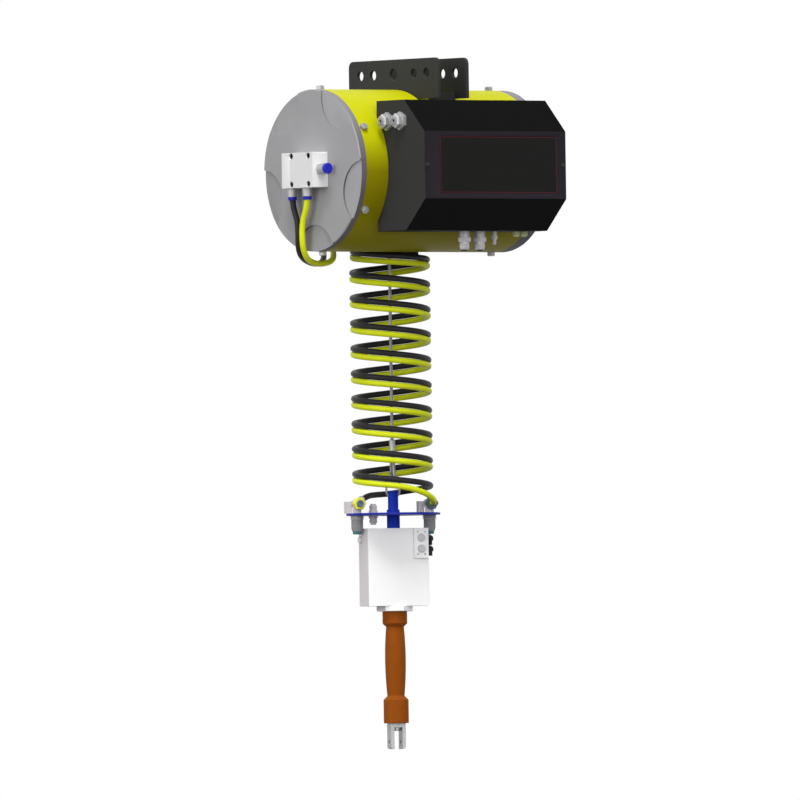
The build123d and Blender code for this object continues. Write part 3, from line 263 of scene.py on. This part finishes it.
class Finish(Nodes):
    """A material while its nodes are added, with one Principled shader."""

    def __init__(self, name, colour, roughness, metallic=0.0, specular=0.5):
        self.material = bpy.data.materials.new(name)
        self.material.use_nodes = True
        super().__init__(self.material.node_tree)
        self.shader = self.node("ShaderNodeBsdfPrincipled")
        self.set("Base Color", (*colour, 1.0))
        self.set("Roughness", roughness)
        self.set("Metallic", metallic)
        self.set("Specular IOR Level", specular)
        self.output = self.node("ShaderNodeOutputMaterial", inputs={"Surface": self.shader.outputs[0]})

    def set(self, name, value):
        """A value or a link on one of the shader's sockets."""
        self.join(self.shader.inputs[name], value)

    def faces(self, axis):
        """How far the surface faces along an axis, and below 0 where it faces the other way."""
        normal = self.node("ShaderNodeTexCoord").outputs["Normal"]
        return Wire(self, self.node("ShaderNodeSeparateXYZ", inputs={0: normal}).outputs[axis])

    def noise(self, per_metre, detail):
        """Soft noise from 0 to 1, fixed to the piece."""
        spot = self.node("ShaderNodeTexCoord").outputs["Object"]
        made = self.node("ShaderNodeTexNoise", inputs={
            "Vector": spot, "Scale": per_metre, "Detail": detail})
        return Wire(self, made.outputs["Fac"])

    def blend(self, share, first, second):
        """A colour between two, by a share from 0 to 1."""
        colours = [(*c, 1.0) if isinstance(c, tuple) else c for c in (first, second)]
        made = self.node("ShaderNodeMix", {"data_type": "RGBA"}, {
            "Factor": share, 6: colours[0], 7: colours[1]})
        return made.outputs[2]

    def clouds(self, colour, shade, per_metre, detail):
        """A colour that drifts softly towards a shade."""
        return self.blend(self.noise(per_metre, detail), colour, shade)

    def mottle(self, roughness, spread, per_metre, detail):
        """Roughness that wanders up from its least value."""
        self.set("Roughness", roughness + spread * self.noise(per_metre, detail))

    def relief(self, height, depth):
        """Relief of a height from 0 to 1 over a depth in metres."""
        made = self.node("ShaderNodeBump", inputs={"Height": height, "Distance": depth})
        self.set("Normal", made.outputs[0])

    def grain(self, depth, per_metre, detail):
        """A grain of a depth in metres."""
        self.relief(self.noise(per_metre, detail), depth)


# Finishes

def enamel(name, colour, shade, roughness=0.42, specular=0.12, underside_shade=None):
    """Sprayed paint with a faint orange peel. Where a shade tone is given, it is painted as shade on
    what doesn't face up.
    """
    paint = Finish(name, colour, roughness, specular=specular)
    tone = paint.clouds(colour, shade, per_metre=9.0, detail=3.0)
    # Painted shade: what doesn't face up turns to the given shade tone
    if underside_shade:
        lit_share = (LIT_SHARE_GAIN * paint.faces("Z") + LIT_SHARE_UPRIGHT).limited()
        tone = paint.blend(lit_share, underside_shade, tone)
    paint.set("Base Color", tone)
    paint.mottle(roughness, spread=0.08, per_metre=40.0, detail=2.0)
    paint.grain(0.04 * MM, per_metre=700.0, detail=1.0)
    return paint.material


def pebbled(coat, roughness):
    """The fine pebbles of powder coat."""
    coat.mottle(roughness, spread=0.1, per_metre=90.0, detail=2.0)
    coat.grain(0.06 * MM, per_metre=1600.0, detail=2.0)
    return coat.material


def powder_coat(name, colour, shade, roughness=0.5):
    """Powder coat of one tone."""
    coat = Finish(name, colour, roughness, specular=0.2)
    coat.set("Base Color", coat.clouds(colour, shade, per_metre=14.0, detail=3.0))
    return pebbled(coat, roughness)


def light_and_shade_coat(name, front, side, slope_shade, roughness, specular=0.2):
    """Powder coat on folded sheet, with painted light and shade: its ends and slopes are given other
    tones by the way they face.
    """
    coat = Finish(name, front, roughness, specular=specular)
    # Painted light and shade: the ends take the side tone, darker on white coats and lighter on the
    # black box, and the slopes take a darker painted shade
    painted_end_mask = coat.faces("X").size().over(LIGHT_AND_SHADE_FACING)
    painted_slope_mask = coat.faces("Z").size().over(SLOPE_SHADE_FACING)
    shade = tuple(COAT_SHADE * part for part in front)
    tone = coat.clouds(front, shade, per_metre=14.0, detail=3.0)
    tone = coat.blend(painted_end_mask, tone, side)
    coat.set("Base Color", coat.blend(painted_slope_mask, tone, slope_shade))
    return pebbled(coat, roughness)


def cast_face(name, colour, shade, rim_shade_top, rim_shade_low, roughness=0.55):
    """Fine sand-cast grey with a satin sheen, with painted shade round the rim and on the steps,
    darker where they face down.
    """
    cast = Finish(name, colour, roughness, specular=0.2)
    face = cast.clouds(colour, shade, per_metre=30.0, detail=5.0)
    # Painted shade: the rim and the steps take a darker tone, darkest where they face down
    rim = cast.blend(cast.faces("Z").limited(), rim_shade_low, rim_shade_top)
    cast.set("Base Color", cast.blend(cast.faces("X").size().over(LIGHT_AND_SHADE_FACING), rim, face))
    cast.mottle(roughness, spread=0.15, per_metre=60.0, detail=3.0)
    cast.grain(0.08 * MM, per_metre=900.0, detail=4.0)
    return cast.material


def bare_metal(name, colour, shade, roughness, metallic=1.0):
    """Machined or plated metal whose fine marks change its tone, its gloss and its relief."""
    metal = Finish(name, colour, roughness, metallic)
    marks = metal.noise(per_metre=500.0, detail=3.0)
    metal.set("Base Color", metal.blend(marks, colour, shade))
    metal.set("Roughness", roughness + 0.15 * marks)
    metal.relief(marks, 0.03 * MM)
    return metal.material


def moulded(name, colour, shade, roughness, grain_per_metre=1200.0, specular=0.15):
    """Moulded plastic with a light spark-eroded grain."""
    plastic = Finish(name, colour, roughness, specular=specular)
    plastic.set("Base Color", plastic.clouds(colour, shade, per_metre=50.0, detail=3.0))
    plastic.mottle(roughness, spread=0.1, per_metre=200.0, detail=2.0)
    plastic.grain(0.04 * MM, per_metre=grain_per_metre, detail=2.0)
    return plastic.material


def hose_skin(name, colour, shade, roughness=0.4):
    """Polyurethane hose with faint draw marks."""
    skin = Finish(name, colour, roughness, specular=0.2)
    skin.set("Base Color", skin.clouds(colour, shade, per_metre=60.0, detail=2.0))
    skin.mottle(roughness, spread=0.1, per_metre=150.0, detail=2.0)
    skin.grain(0.02 * MM, per_metre=900.0, detail=1.0)
    return skin.material


# The finish of each material slot
FINISHES = {
    # The yellow enamel has painted shade, in a darker and more orange tone, on all that doesn't face
    # up
    "yellow_paint": enamel("yellow enamel", (0.52, 0.53, 0.003), (0.49, 0.5, 0.002),
                           specular=0.06, underside_shade=(0.27, 0.232, 0.0015)),
    "blue_paint": enamel("blue enamel", (0.016, 0.026, 0.34), (0.014, 0.022, 0.3)),
    # Painted shade: the white coat's ends and slopes are given darker tones
    "white_paint": light_and_shade_coat("white powder coat", (0.98, 0.98, 0.98), (0.69, 0.66, 0.67),
                              (0.93, 0.93, 0.93), 0.45),
    "black_plate": powder_coat("black plate coat", (0.0235, 0.0235, 0.022), (0.019, 0.019, 0.0185)),
    # Painted light on the black box's ends, and painted shade on its slopes
    "box_black": light_and_shade_coat("black box coat", (0.024, 0.0205, 0.026), (0.037, 0.037, 0.036),
                            (0.002, 0.002, 0.002), 0.55, specular=0.03),
    # Painted shade on the cast caps' rims and steps
    "cast_grey": cast_face("cast grey", (0.335, 0.335, 0.34), (0.305, 0.305, 0.315),
                           rim_shade_top=(0.24, 0.225, 0.24), rim_shade_low=(0.13, 0.12, 0.132)),
    "zinc_steel": bare_metal("zinc plate", (0.42, 0.41, 0.4), (0.34, 0.34, 0.34), 0.42, 0.8),
    "ground_steel": bare_metal("ground steel", (0.58, 0.58, 0.6), (0.5, 0.5, 0.52), 0.25),
    "nickel_brass": bare_metal("nickel plate", (0.5, 0.5, 0.5), (0.4, 0.4, 0.41), 0.45, 0.6),
    "aluminium": bare_metal("turned aluminium", (0.5, 0.51, 0.52), (0.44, 0.45, 0.46), 0.4, 0.8),
    "clevis_steel": bare_metal("clevis steel", (0.42, 0.42, 0.42), (0.35, 0.35, 0.35), 0.42, 0.8),
    "steel_rope": bare_metal("wire rope", (0.36, 0.35, 0.36), (0.24, 0.24, 0.25), 0.4),
    "dark_steel": bare_metal("black oxide", (0.05, 0.05, 0.05), (0.035, 0.035, 0.035), 0.45),
    "black_rubber": moulded("black rubber", (0.014, 0.014, 0.014), (0.01, 0.01, 0.01), 0.7),
    "black_plastic": moulded("black nylon", (0.01, 0.01, 0.011), (0.007, 0.007, 0.008), 0.45),
    "panel_glass": moulded("smoked window", (0.011, 0.011, 0.01), (0.009, 0.01, 0.009), 0.2,
                           grain_per_metre=80.0, specular=0.06),
    "silencer_plastic": moulded("porous plastic", (0.72, 0.76, 0.46), (0.6, 0.64, 0.36), 0.7,
                                grain_per_metre=600.0),
    "board_green": moulded("circuit board", (0.02, 0.18, 0.06), (0.015, 0.14, 0.05), 0.35),
    "collet_blue": moulded("blue collar", (0.02, 0.025, 0.5), (0.015, 0.02, 0.42), 0.35),
    "collet_teal": moulded("teal collar", (0.05, 0.2, 0.23), (0.04, 0.16, 0.19), 0.35),
    "fitting_grey": moulded("grey fitting", (0.3, 0.3, 0.31), (0.26, 0.26, 0.27), 0.45),
    "fitting_light": moulded("light fitting", (0.68, 0.64, 0.66), (0.61, 0.57, 0.59), 0.42),
    "nut_yellow": moulded("yellow nut", (0.86, 0.84, 0.08), (0.78, 0.76, 0.06), 0.4),
    "nut_blue_grey": moulded("blue-grey nut", (0.13, 0.19, 0.25), (0.1, 0.15, 0.2), 0.4),
    "grip_brown": moulded("brown grip", (0.29, 0.07, 0.002), (0.22, 0.052, 0.002), 0.55,
                          grain_per_metre=700.0, specular=0.08),
    "button_grey": moulded("button grey", (0.6, 0.6, 0.61), (0.55, 0.55, 0.56), 0.45),
    "black_hose": hose_skin("black hose", (0.014, 0.012, 0.015), (0.01, 0.009, 0.011)),
    "yellow_hose": hose_skin("yellow hose", (0.74, 0.82, 0.008), (0.66, 0.73, 0.006)),
}
RED_LINE = moulded("dark red line", (0.075, 0.008, 0.014), (0.05, 0.006, 0.01), 0.4)

# Nodes whose finish differs from that of their slot
NODE_FINISHES = {
    "stem": enamel("bright blue enamel", (0.006, 0.035, 0.5), (0.005, 0.03, 0.44)),
    "disc_gland": FINISHES["fitting_light"],
    # Painted shade on the valve block's ends and slopes
    "valve_block": light_and_shade_coat("block white", (0.93, 0.93, 0.93), (0.7, 0.7, 0.7),
                              (0.9, 0.9, 0.9), 0.4),
}


def dress_nodes():
    """Every carried-over node takes its own finish, or that of its slot."""
    for name, slot in SLOTS.items():
        node = frame["nodes"][name]
        node.data.materials.clear()
        node.data.materials.append(NODE_FINISHES.get(name, FINISHES[slot]))


# Places, and what all new pieces share

def on_drum(x, y, z):
    """A place of the drawing, in metres in the frame."""
    return (x * MM, y * MM, z * MM + DRUM_AXIS)


def handle_point(x, y, z):
    """A place on the handle unit, turned about the rope with it."""
    return (x * cos(HANDLE_TURN) - y * sin(HANDLE_TURN),
            ROPE_Y + x * sin(HANDLE_TURN) + y * cos(HANDLE_TURN), z)


# Ways in which the turned pieces point
UP = (0, 0, 1)
DOWN = (0, 0, -1)
LEFT = (-1, 0, 0)
HANDLE_FRONT = (sin(HANDLE_TURN), -cos(HANDLE_TURN), 0)
HANDLE_LEFT = (-cos(HANDLE_TURN), -sin(HANDLE_TURN), 0)


def new_piece(name, mesh, slot, body=None, finish=None):
    """A piece in the scene with its slot's finish, riding on a body if one is named."""
    piece = bpy.data.objects.new(name, mesh)
    bpy.context.collection.objects.link(piece)
    mesh.materials.clear()
    mesh.materials.append(finish or FINISHES[slot])
    if body:
        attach(piece, body)
    return piece


def mesh_of(name, work, smooth_below=35.0):
    """A finished mesh of a bmesh, smooth except over its sharper edges."""
    bmesh.ops.recalc_face_normals(work, faces=work.faces)
    mesh = bpy.data.meshes.new(name)
    work.to_mesh(mesh)
    work.free()
    mesh.shade_smooth()
    mesh.set_sharp_from_angle(angle=radians(smooth_below))
    return mesh


def turned_piece(name, outline, place, axis, slot, body):
    """A round piece of (radius, height) points in millimetres, along an axis on a place."""
    work = bmesh.new()
    verts = [work.verts.new((radius * MM, 0, height * MM)) for radius, height in outline]
    edges = [work.edges.new(pair) for pair in zip(verts, verts[1:])]
    bmesh.ops.spin(work, geom=verts + edges, cent=(0, 0, 0), axis=UP, angle=tau,
                   steps=TURNED_STEPS, use_merge=True)
    bmesh.ops.remove_doubles(work, verts=work.verts, dist=TOUCHING)
    turn = Vector(axis).to_track_quat("Z", "Y").to_matrix()
    bmesh.ops.rotate(work, verts=work.verts, matrix=turn)
    bmesh.ops.translate(work, verts=work.verts, vec=on_drum(*place))
    new_piece(name, mesh_of(name, work), slot, body)


# Edges of the folded, milled and cast pieces, in millimetres of rounding

SOFT_EDGES = {
    "control_box": 1.2, "front_panel": 0.4, "left_cap": 0.25, "right_cap": 0.25,
    "left_hanger_plate": 0.5, "right_hanger_plate": 0.5, "hanger_ties": 0.4, "rope_guide": 0.5,
    "valve_block": 0.6, "handle_box": 0.8, "handle_box_cover": 0.6, "handle_box_nut": 0.6,
    "button_block": 0.6, "clevis": 0.7, "disc": 0.5, "grip": 0.8, "signal_elbows": 0.5,
}


def soften_edges(node, rounding):
    """A node's shape with its triangles merged into faces and its sharp edges rounded."""
    name = node + "_body"
    work = bmesh.new()
    work.from_mesh(frame["nodes"][node].data)
    bmesh.ops.remove_doubles(work, verts=work.verts, dist=TOUCHING)
    bmesh.ops.dissolve_limit(work, angle_limit=FLAT_BELOW, verts=work.verts, edges=work.edges)
    piece = new_piece(name, mesh_of(name, work), SLOTS[node], BODIES[node], NODE_FINISHES.get(node))
    edges = piece.modifiers.new("edges", "BEVEL")
    edges.width = rounding * MM
    edges.segments = 2
    edges.limit_method = "ANGLE"
    edges.angle_limit = EDGE_ABOVE
    edges.harden_normals = True
    edges.miter_outer = "MITER_ARC"
    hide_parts(node)


# Control box

def panel_outline():
    """The thin dark-red line round the smoked window, cut from a sheet of the window's size."""
    low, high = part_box("front_panel")
    work = bmesh.new()
    # The size is half a side, so the sheet starts one metre square
    sheet = bmesh.ops.create_grid(work, x_segments=1, y_segments=1, size=0.5)
    bmesh.ops.scale(work, verts=sheet["verts"], vec=(high.x - low.x, high.z - low.z, 1))
    bmesh.ops.rotate(work, verts=sheet["verts"], matrix=Matrix.Rotation(pi / 2, 3, "X"))
    middle = (low + high) / 2
    middle.y = low.y + PANEL_PROUD
    bmesh.ops.translate(work, verts=sheet["verts"], vec=middle)
    ring = bmesh.ops.inset_region(work, faces=work.faces[:], thickness=PANEL_LINE,
                                  use_boundary=True, use_even_offset=True)["faces"]
    window = [face for face in work.faces if face not in ring]
    bmesh.ops.delete(work, geom=window, context="FACES_ONLY")
    proud = bmesh.ops.extrude_face_region(work, geom=work.faces[:])["geom"]
    bmesh.ops.translate(work, verts=[v for v in proud if isinstance(v, bmesh.types.BMVert)],
                        vec=(0, -2 * PANEL_PROUD, 0))
    new_piece("panel_outline", mesh_of("panel_outline", work), "panel_glass", HOUSING, RED_LINE)


def pan_head(work, diameter, height, place, turn):
    """A screw's head with a round recess, centred on a place along its turned Z."""
    before = set(work.verts)
    bmesh.ops.create_cone(work, cap_ends=True, segments=SCREW_CORNERS, radius1=diameter / 2,
                          radius2=PAN_TOP * diameter, depth=height)
    made = set(work.verts) - before
    top = max((f for f in work.faces if set(f.verts) <= made),
              key=lambda f: f.calc_center_median().z)
    bmesh.ops.inset_region(work, faces=[top], thickness=PAN_RIM * diameter)
    bmesh.ops.translate(work, verts=top.verts, vec=(0, 0, -PAN_RECESS * height))
    verts = list(set(work.verts) - before)
    bmesh.ops.rotate(work, verts=verts, matrix=turn)
    bmesh.ops.translate(work, verts=verts, vec=place)


def face_screws():
    """The screw each side of the window."""
    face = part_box("control_box")[0].y
    turn = Matrix.Rotation(pi / 2, 3, "X")
    work = bmesh.new()
    for side in (-1, 1):
        place = Vector(on_drum(side * FACE_SCREW_X, 0, FACE_SCREW_Z))
        place.y = face - FACE_SCREW_MIDDLE
        pan_head(work, FACE_SCREW_DIA, FACE_SCREW_HEIGHT, place, turn)
    new_piece("face_screws", mesh_of("face_screws", work), "dark_steel", HOUSING)


def gland_seals():
    """The grey and black seals that show in the mouths of the box's glands."""
    side = [(2.6, 0.0), (2.6, 1.2), (3.6, 2.0), (6.4, 1.6), (7.8, 0.2), (7.8, -0.6), (2.6, -0.6)]
    bottom = [(3.2, -0.2), (3.2, 1.0), (4.4, 1.8), (5.6, 1.2), (5.9, -0.2), (3.2, -0.2)]
    for number, y in enumerate(SIDE_GLANDS_Y):
        turned_piece(f"side_seal_{number}", side, (SIDE_MOUTH_X, y, SIDE_GLANDS_Z), LEFT,
                     "fitting_grey", HOUSING)
    for number, x in enumerate(BOTTOM_GLANDS_X):
        turned_piece(f"bottom_seal_{number}", bottom, (x, BOTTOM_GLANDS_Y, BOTTOM_MOUTH_Z), DOWN,
                     "black_rubber", HOUSING)


# Small pieces of the handle unit

def nut_port():
    """The plugged port in the yellow nut."""
    outline = [(0, 0.6), (2.6, 0.6), (3.2, 2.2), (5.4, 2.2), (6.2, 0.8), (6.2, -0.6), (0, -0.6)]
    turned_piece("nut_port", outline, handle_point(-FITTING_REACH, NUT_FACE_Y, ELBOW_Z),
                 HANDLE_FRONT, "nut_blue_grey", HANDLE)


def bulkhead_rings():
    """Two collars round each of the bulkhead fittings."""
    outline = [(10.0, -0.8), (11.4, -0.8), (11.8, -0.4), (11.8, 0.4), (11.4, 0.8), (10.0, 0.8)]
    for number, x in enumerate((-FITTING_REACH, FITTING_REACH)):
        for step, height in enumerate(BULKHEAD_RINGS_Z):
            turned_piece(f"bulkhead_ring_{number}_{step}", outline, handle_point(x, 0, height),
                         UP, "fitting_light", HANDLE)


def button_rings():
    """The raised ring round each push button."""
    outline = [(6.6, -0.2), (6.6, 0.5), (7.4, 0.9), (8.2, 0.5), (8.2, -0.2), (6.6, -0.2)]
    for name, height in BUTTONS_Z.items():
        turned_piece(name + "_button_ring", outline, handle_point(BUTTONS_X, BUTTONS_Y, height),
                     HANDLE_FRONT, "white_paint", HANDLE)


def signal_stubs():
    """The tube stub on top of each signal elbow."""
    outline = [(0, 0), (2.6, 0), (2.6, 3.6), (2.1, 4.1), (0, 4.1)]
    for number, height in enumerate(STUBS_Z):
        turned_piece(f"signal_stub_{number}", outline, handle_point(STUBS_X, 0, height),
                     UP, "zinc_steel", HANDLE)


def boss_recess():
    """The rim and the recess in the end of the side boss."""
    outline = [(0, 0.2), (2.4, 0.2), (3.0, 0.9), (4.6, 0.9), (5.0, 0.4), (5.0, -0.4), (0, -0.4)]
    turned_piece("boss_recess", outline, handle_point(*SIDE_BOSS), HANDLE_LEFT, "white_paint", HANDLE)


# Routes of the rope and the hoses, in places of the drawing

def coil_height(angle, starts):
    """A hose's height at an angle counted down the coil, which falls evenly from half a turn on."""
    first, second, third = starts
    quarter = (angle - COIL_START) / 90
    if quarter < 1:
        return first + (second - first) * quarter
    if quarter < 2:
        return second + (third - second) * (quarter - 1)
    return third - TURN_FALL * (quarter - 2) / 4


def coil_points(sweep, starts):
    """Corners of the coil's turns, so far outside its circle that their line runs on it."""
    step = 360 / CORNERS_PER_TURN
    corner = COIL_RADIUS / cos(radians(step / 2))
    points = []
    for i in range(1, round(sweep / step) + 1):
        angle = COIL_START + step * i
        across, along = (corner * cos(radians(angle)), corner * sin(radians(angle)))
        points.append((across, ROPE_Y + along, coil_height(angle, starts)))
    return points


def left_mouth(distance):
    """A point straight out of the left elbow's mouth."""
    turn, lift = (radians(MOUTH_TURN), radians(MOUTH_LIFT))
    level = distance * cos(lift)
    return handle_point(-FITTING_REACH + level * sin(turn), level * cos(turn),
                        ELBOW_Z + distance * sin(lift))


def right_mouth(distance):
    """A point straight out of the right elbow's mouth."""
    return handle_point(FITTING_REACH, -distance, ELBOW_Z)


ROPE_ROUTE = [(0, 62, 0), (0, 62, -150), (0, 62, -300), (0, 62, -451)]
YELLOW_ROUTE = [
    # Down from the valve block and in under the drum
    (-222, -6.7, -35.2), (-222, -6.7, -60), (-222, 9, -86), (-221.5, 10.5, -124),
    (-211.5, 16, -143), (-192.5, 27, -153.5), (-157, 44, -157), (-117, 63, -150),
    # Round in one loop behind the drum
    (-95, 92, -132), (-84, 121, -103), (-76, 143, -64), (-58, 156, -25), (-27, 161.5, 4),
    (12, 163, 17), (52, 161, 14), (86, 156, -10), (101, 149, -48), (95, 140, -88),
    (68, 132, -117), (30, 127, -131), (-6, 125.5, -134), (-36, 117, -139), (-54, 94, -144.5),
    # Down the coil, and to the right elbow
    *coil_points(YELLOW_SWEEP, YELLOW_STARTS),
    (-22, -2, -531.5), (21, -8, -543.5), right_mouth(37), right_mouth(8)]
BLACK_ROUTE = [
    # Down from the valve block and in under the drum
    (-222, 35.4, -35.2), (-222, 35.4, -60), (-222, 20, -86), (-222, 21.5, -128),
    (-212.5, 28, -142), (-193, 41, -150.5), (-160, 60, -156), (-127, 79.5, -153),
    # Round in one loop behind the drum
    (-103, 107.5, -136), (-87, 135.5, -109), (-76, 156, -69), (-57, 169, -31), (-26, 174, -5),
    (12, 174.5, 5), (46, 171, 2), (76, 165, -17), (89, 156, -50), (83.5, 145, -83),
    (60, 136, -107), (28, 128, -119.5), (-6, 125.5, -123), (-36, 117, -128), (-54, 94, -134),
    # Down the coil, and to the left elbow
    *coil_points(BLACK_SWEEP, BLACK_STARTS),
    (60, 94, -536.5), (27, 112.5, -542), (-9, 104, -543.5), left_mouth(34), left_mouth(12.5)]


def centreline(name, route):
    """The smooth line of a route, as a mesh of points and edges."""
    curve = bpy.data.curves.new(name, "CURVE")
    curve.dimensions = "3D"
    curve.resolution_u = LINE_STEPS
    spline = curve.splines.new("NURBS")
    spline.points.add(len(route) - 1)
    for point, place in zip(spline.points, route):
        point.co = (*on_drum(*place), 1.0)
    spline.order_u = 3
    spline.use_endpoint_u = True
    bare = bpy.data.objects.new(name, curve)
    mesh = bpy.data.meshes.new_from_object(bare)
    mesh.name = name
    bpy.data.objects.remove(bare)
    bpy.data.curves.remove(curve)
    return mesh


# Wire rope

def wire_rope():
    """Six strands laid round each other, from the reel down to the ferrule."""
    line_mesh = centreline("wire_rope_line", ROPE_ROUTE)
    line = [tuple(v.co) for v in line_mesh.vertices]
    bpy.data.meshes.remove(line_mesh)
    length = line[0][2] - line[-1][2]
    work = bmesh.new()
    ring = bmesh.ops.create_circle(work, segments=CORNERS_PER_STRAND * ROPE_STRANDS,
                                   radius=ROPE_DIA / 2)
    for v in ring["verts"]:
        # Once round, this rises and falls for each strand
        bulge = abs(cos(ROPE_STRANDS / 2 * atan2(v.co.y, v.co.x)))
        v.co *= ROPE_VALLEY + (1 - ROPE_VALLEY) * bulge
    steps = round(STEPS_PER_LAY * length / ROPE_LAY)
    bmesh.ops.spin(work, geom=work.edges[:], cent=(0, 0, 0), axis=UP,
                   dvec=(0, 0, -length / steps), angle=tau * length / ROPE_LAY, steps=steps)
    bmesh.ops.holes_fill(work, edges=[e for e in work.edges if e.is_boundary])
    bmesh.ops.translate(work, verts=work.verts, vec=line[0])
    rope = new_piece("wire_rope", mesh_of("wire_rope", work, smooth_below=60.0), "steel_rope")
    on_drum(0, ROPE_Y, GUIDE_EXIT)
    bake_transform(rope)
    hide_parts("rope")


# Hoses

def round_tube(piece, diameter, sides, finish):
    """A live round tube about a piece's line, which stays round when the line stretches."""
    tree = bpy.data.node_groups.new(piece.name + " tube", "GeometryNodeTree")
    tree.interface.new_socket("Line", in_out="INPUT", socket_type="NodeSocketGeometry")
    tree.interface.new_socket("Tube", in_out="OUTPUT", socket_type="NodeSocketGeometry")
    steps = Nodes(tree)
    line = steps.node("NodeGroupInput")
    curve = steps.node("GeometryNodeMeshToCurve", inputs={0: line.outputs[0]})
    ring = steps.node("GeometryNodeCurvePrimitiveCircle", inputs={
        "Resolution": sides, "Radius": diameter / 2})
    tube = steps.node("GeometryNodeCurveToMesh", inputs={
        0: curve.outputs[0], "Profile Curve": ring.outputs[0], "Fill Caps": True})
    dressed = steps.node("GeometryNodeSetMaterial", inputs={0: tube.outputs[0], "Material": finish})
    smooth = steps.node("GeometryNodeSetShadeSmooth", inputs={0: dressed.outputs[0]})
    steps.node("NodeGroupOutput", inputs={0: smooth.outputs[0]})
    piece.modifiers.new("tube", "NODES").node_group = tree


def coiled_hose(name, route, slot, nodes):
    """One hose from the valve block, round the drum and down the coil to the disc."""
    mesh = centreline(name, route)
    hose = new_piece(name, mesh, slot)
    round_tube(hose, HOSE_DIA, HOSE_SIDES, FINISHES[slot])
    top = on_drum(0, ROPE_Y, COIL_TOP)
    end = on_drum(0, ROPE_Y, COIL_END)
    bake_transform(hose)
    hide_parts(*nodes)


# Camera, light and floor

def away(azimuth, elevation):
    """The way to a camera or lamp, by degrees from the front round to the right, and up."""
    turn, rise = (radians(azimuth), radians(elevation))
    return Vector((sin(turn) * cos(rise), -cos(turn) * cos(rise), sin(rise)))


def camera():
    """The photograph's view, from so far off that it has next to no perspective."""
    data = bpy.data.cameras.new("camera")
    data.lens = data.sensor_width * DISTANCE / FRAME_WIDTH
    data.clip_end = SIGHT
    made = bpy.data.objects.new("camera", data)
    bpy.context.collection.objects.link(made)
    back = away(AZIMUTH, ELEVATION)
    turn = (-back).to_track_quat("-Z", "Y").to_matrix() @ Matrix.Rotation(ROLL, 3, "Z")
    made.matrix_world = Matrix.Translation(AIM + back * DISTANCE) @ turn.to_4x4()
    bpy.context.scene.camera = made


def sun(name, azimuth, elevation, strength, width):
    """A distant lamp, with soft shadows from its width in the sky."""
    data = bpy.data.lights.new(name, "SUN")
    data.energy = strength
    data.angle = radians(width)
    lamp = bpy.data.objects.new(name, data)
    bpy.context.collection.objects.link(lamp)
    lamp.rotation_mode = "QUATERNION"
    lamp.rotation_quaternion = (-away(azimuth, elevation)).to_track_quat("-Z", "Y")


def sky(level, white):
    """Even light from all round, and a white background for the camera, glass and metal."""
    world = bpy.data.worlds.new("studio")
    world.use_nodes = True
    nodes = Nodes(world.node_tree)
    seen, through, mirrored = nodes.rays("Camera", "Transmission", "Glossy")
    strength = (white - level) * seen.larger(through).larger(mirrored) + level
    light = nodes.node("ShaderNodeBackground", inputs={"Color": WHITE, "Strength": strength})
    nodes.node("ShaderNodeOutputWorld", inputs={"Surface": light.outputs[0]})
    bpy.context.scene.world = world


def floor(height, reach):
    """A plain floor, pale to the camera, to glass and to metal, and clear from below."""
    work = bmesh.new()
    bmesh.ops.create_grid(work, x_segments=1, y_segments=1, size=reach)
    bmesh.ops.translate(work, verts=work.verts, vec=(0, 0, height))
    mesh = bpy.data.meshes.new("floor")
    work.to_mesh(mesh)
    work.free()
    ground = bpy.data.objects.new("floor", mesh)
    bpy.context.collection.objects.link(ground)
    pale = Finish("pale floor", (FLOOR_SHADE, FLOOR_SHADE, FLOOR_SHADE), roughness=0.9)
    seen, mirrored, through = pale.rays("Camera", "Glossy", "Transmission")
    glow = pale.node("ShaderNodeEmission", inputs={"Color": WHITE, "Strength": 1.0})
    both = pale.node("ShaderNodeMixShader", inputs={
        "Fac": (seen + mirrored + through) * FLOOR_GLOW,
        1: pale.shader.outputs[0], 2: glow.outputs[0]})
    under = pale.node("ShaderNodeNewGeometry").outputs["Backfacing"]
    clear = pale.node("ShaderNodeBsdfTransparent")
    whole = pale.node("ShaderNodeMixShader", inputs={
        "Fac": under, 1: both.outputs[0], 2: clear.outputs[0]})
    pale.join(pale.output.inputs["Surface"], whole.outputs[0])
    mesh.materials.append(pale.material)


# Making

camera()
for lamp_name, light in LAMPS.items():
    sun(lamp_name, *light)
sky(SKY_LEVEL, SKY_WHITE)
floor(FLOOR_HEIGHT, FLOOR_REACH)

dress_nodes()
for node_name, edge in SOFT_EDGES.items():
    soften_edges(node_name, edge)
panel_outline()
face_screws()
gland_seals()
nut_port()
bulkhead_rings()
button_rings()
signal_stubs()
boss_recess()
wire_rope()
coiled_hose("yellow_hose", YELLOW_ROUTE, "yellow_hose",
            ("yellow_hose_lead", "hose_coil", "yellow_hose_tail"))
coiled_hose("black_hose", BLACK_ROUTE, "black_hose",
            ("black_hose_lead", "hose_coil", "black_hose_tail"))

bpy.context.scene.view_settings.view_transform = "Standard"
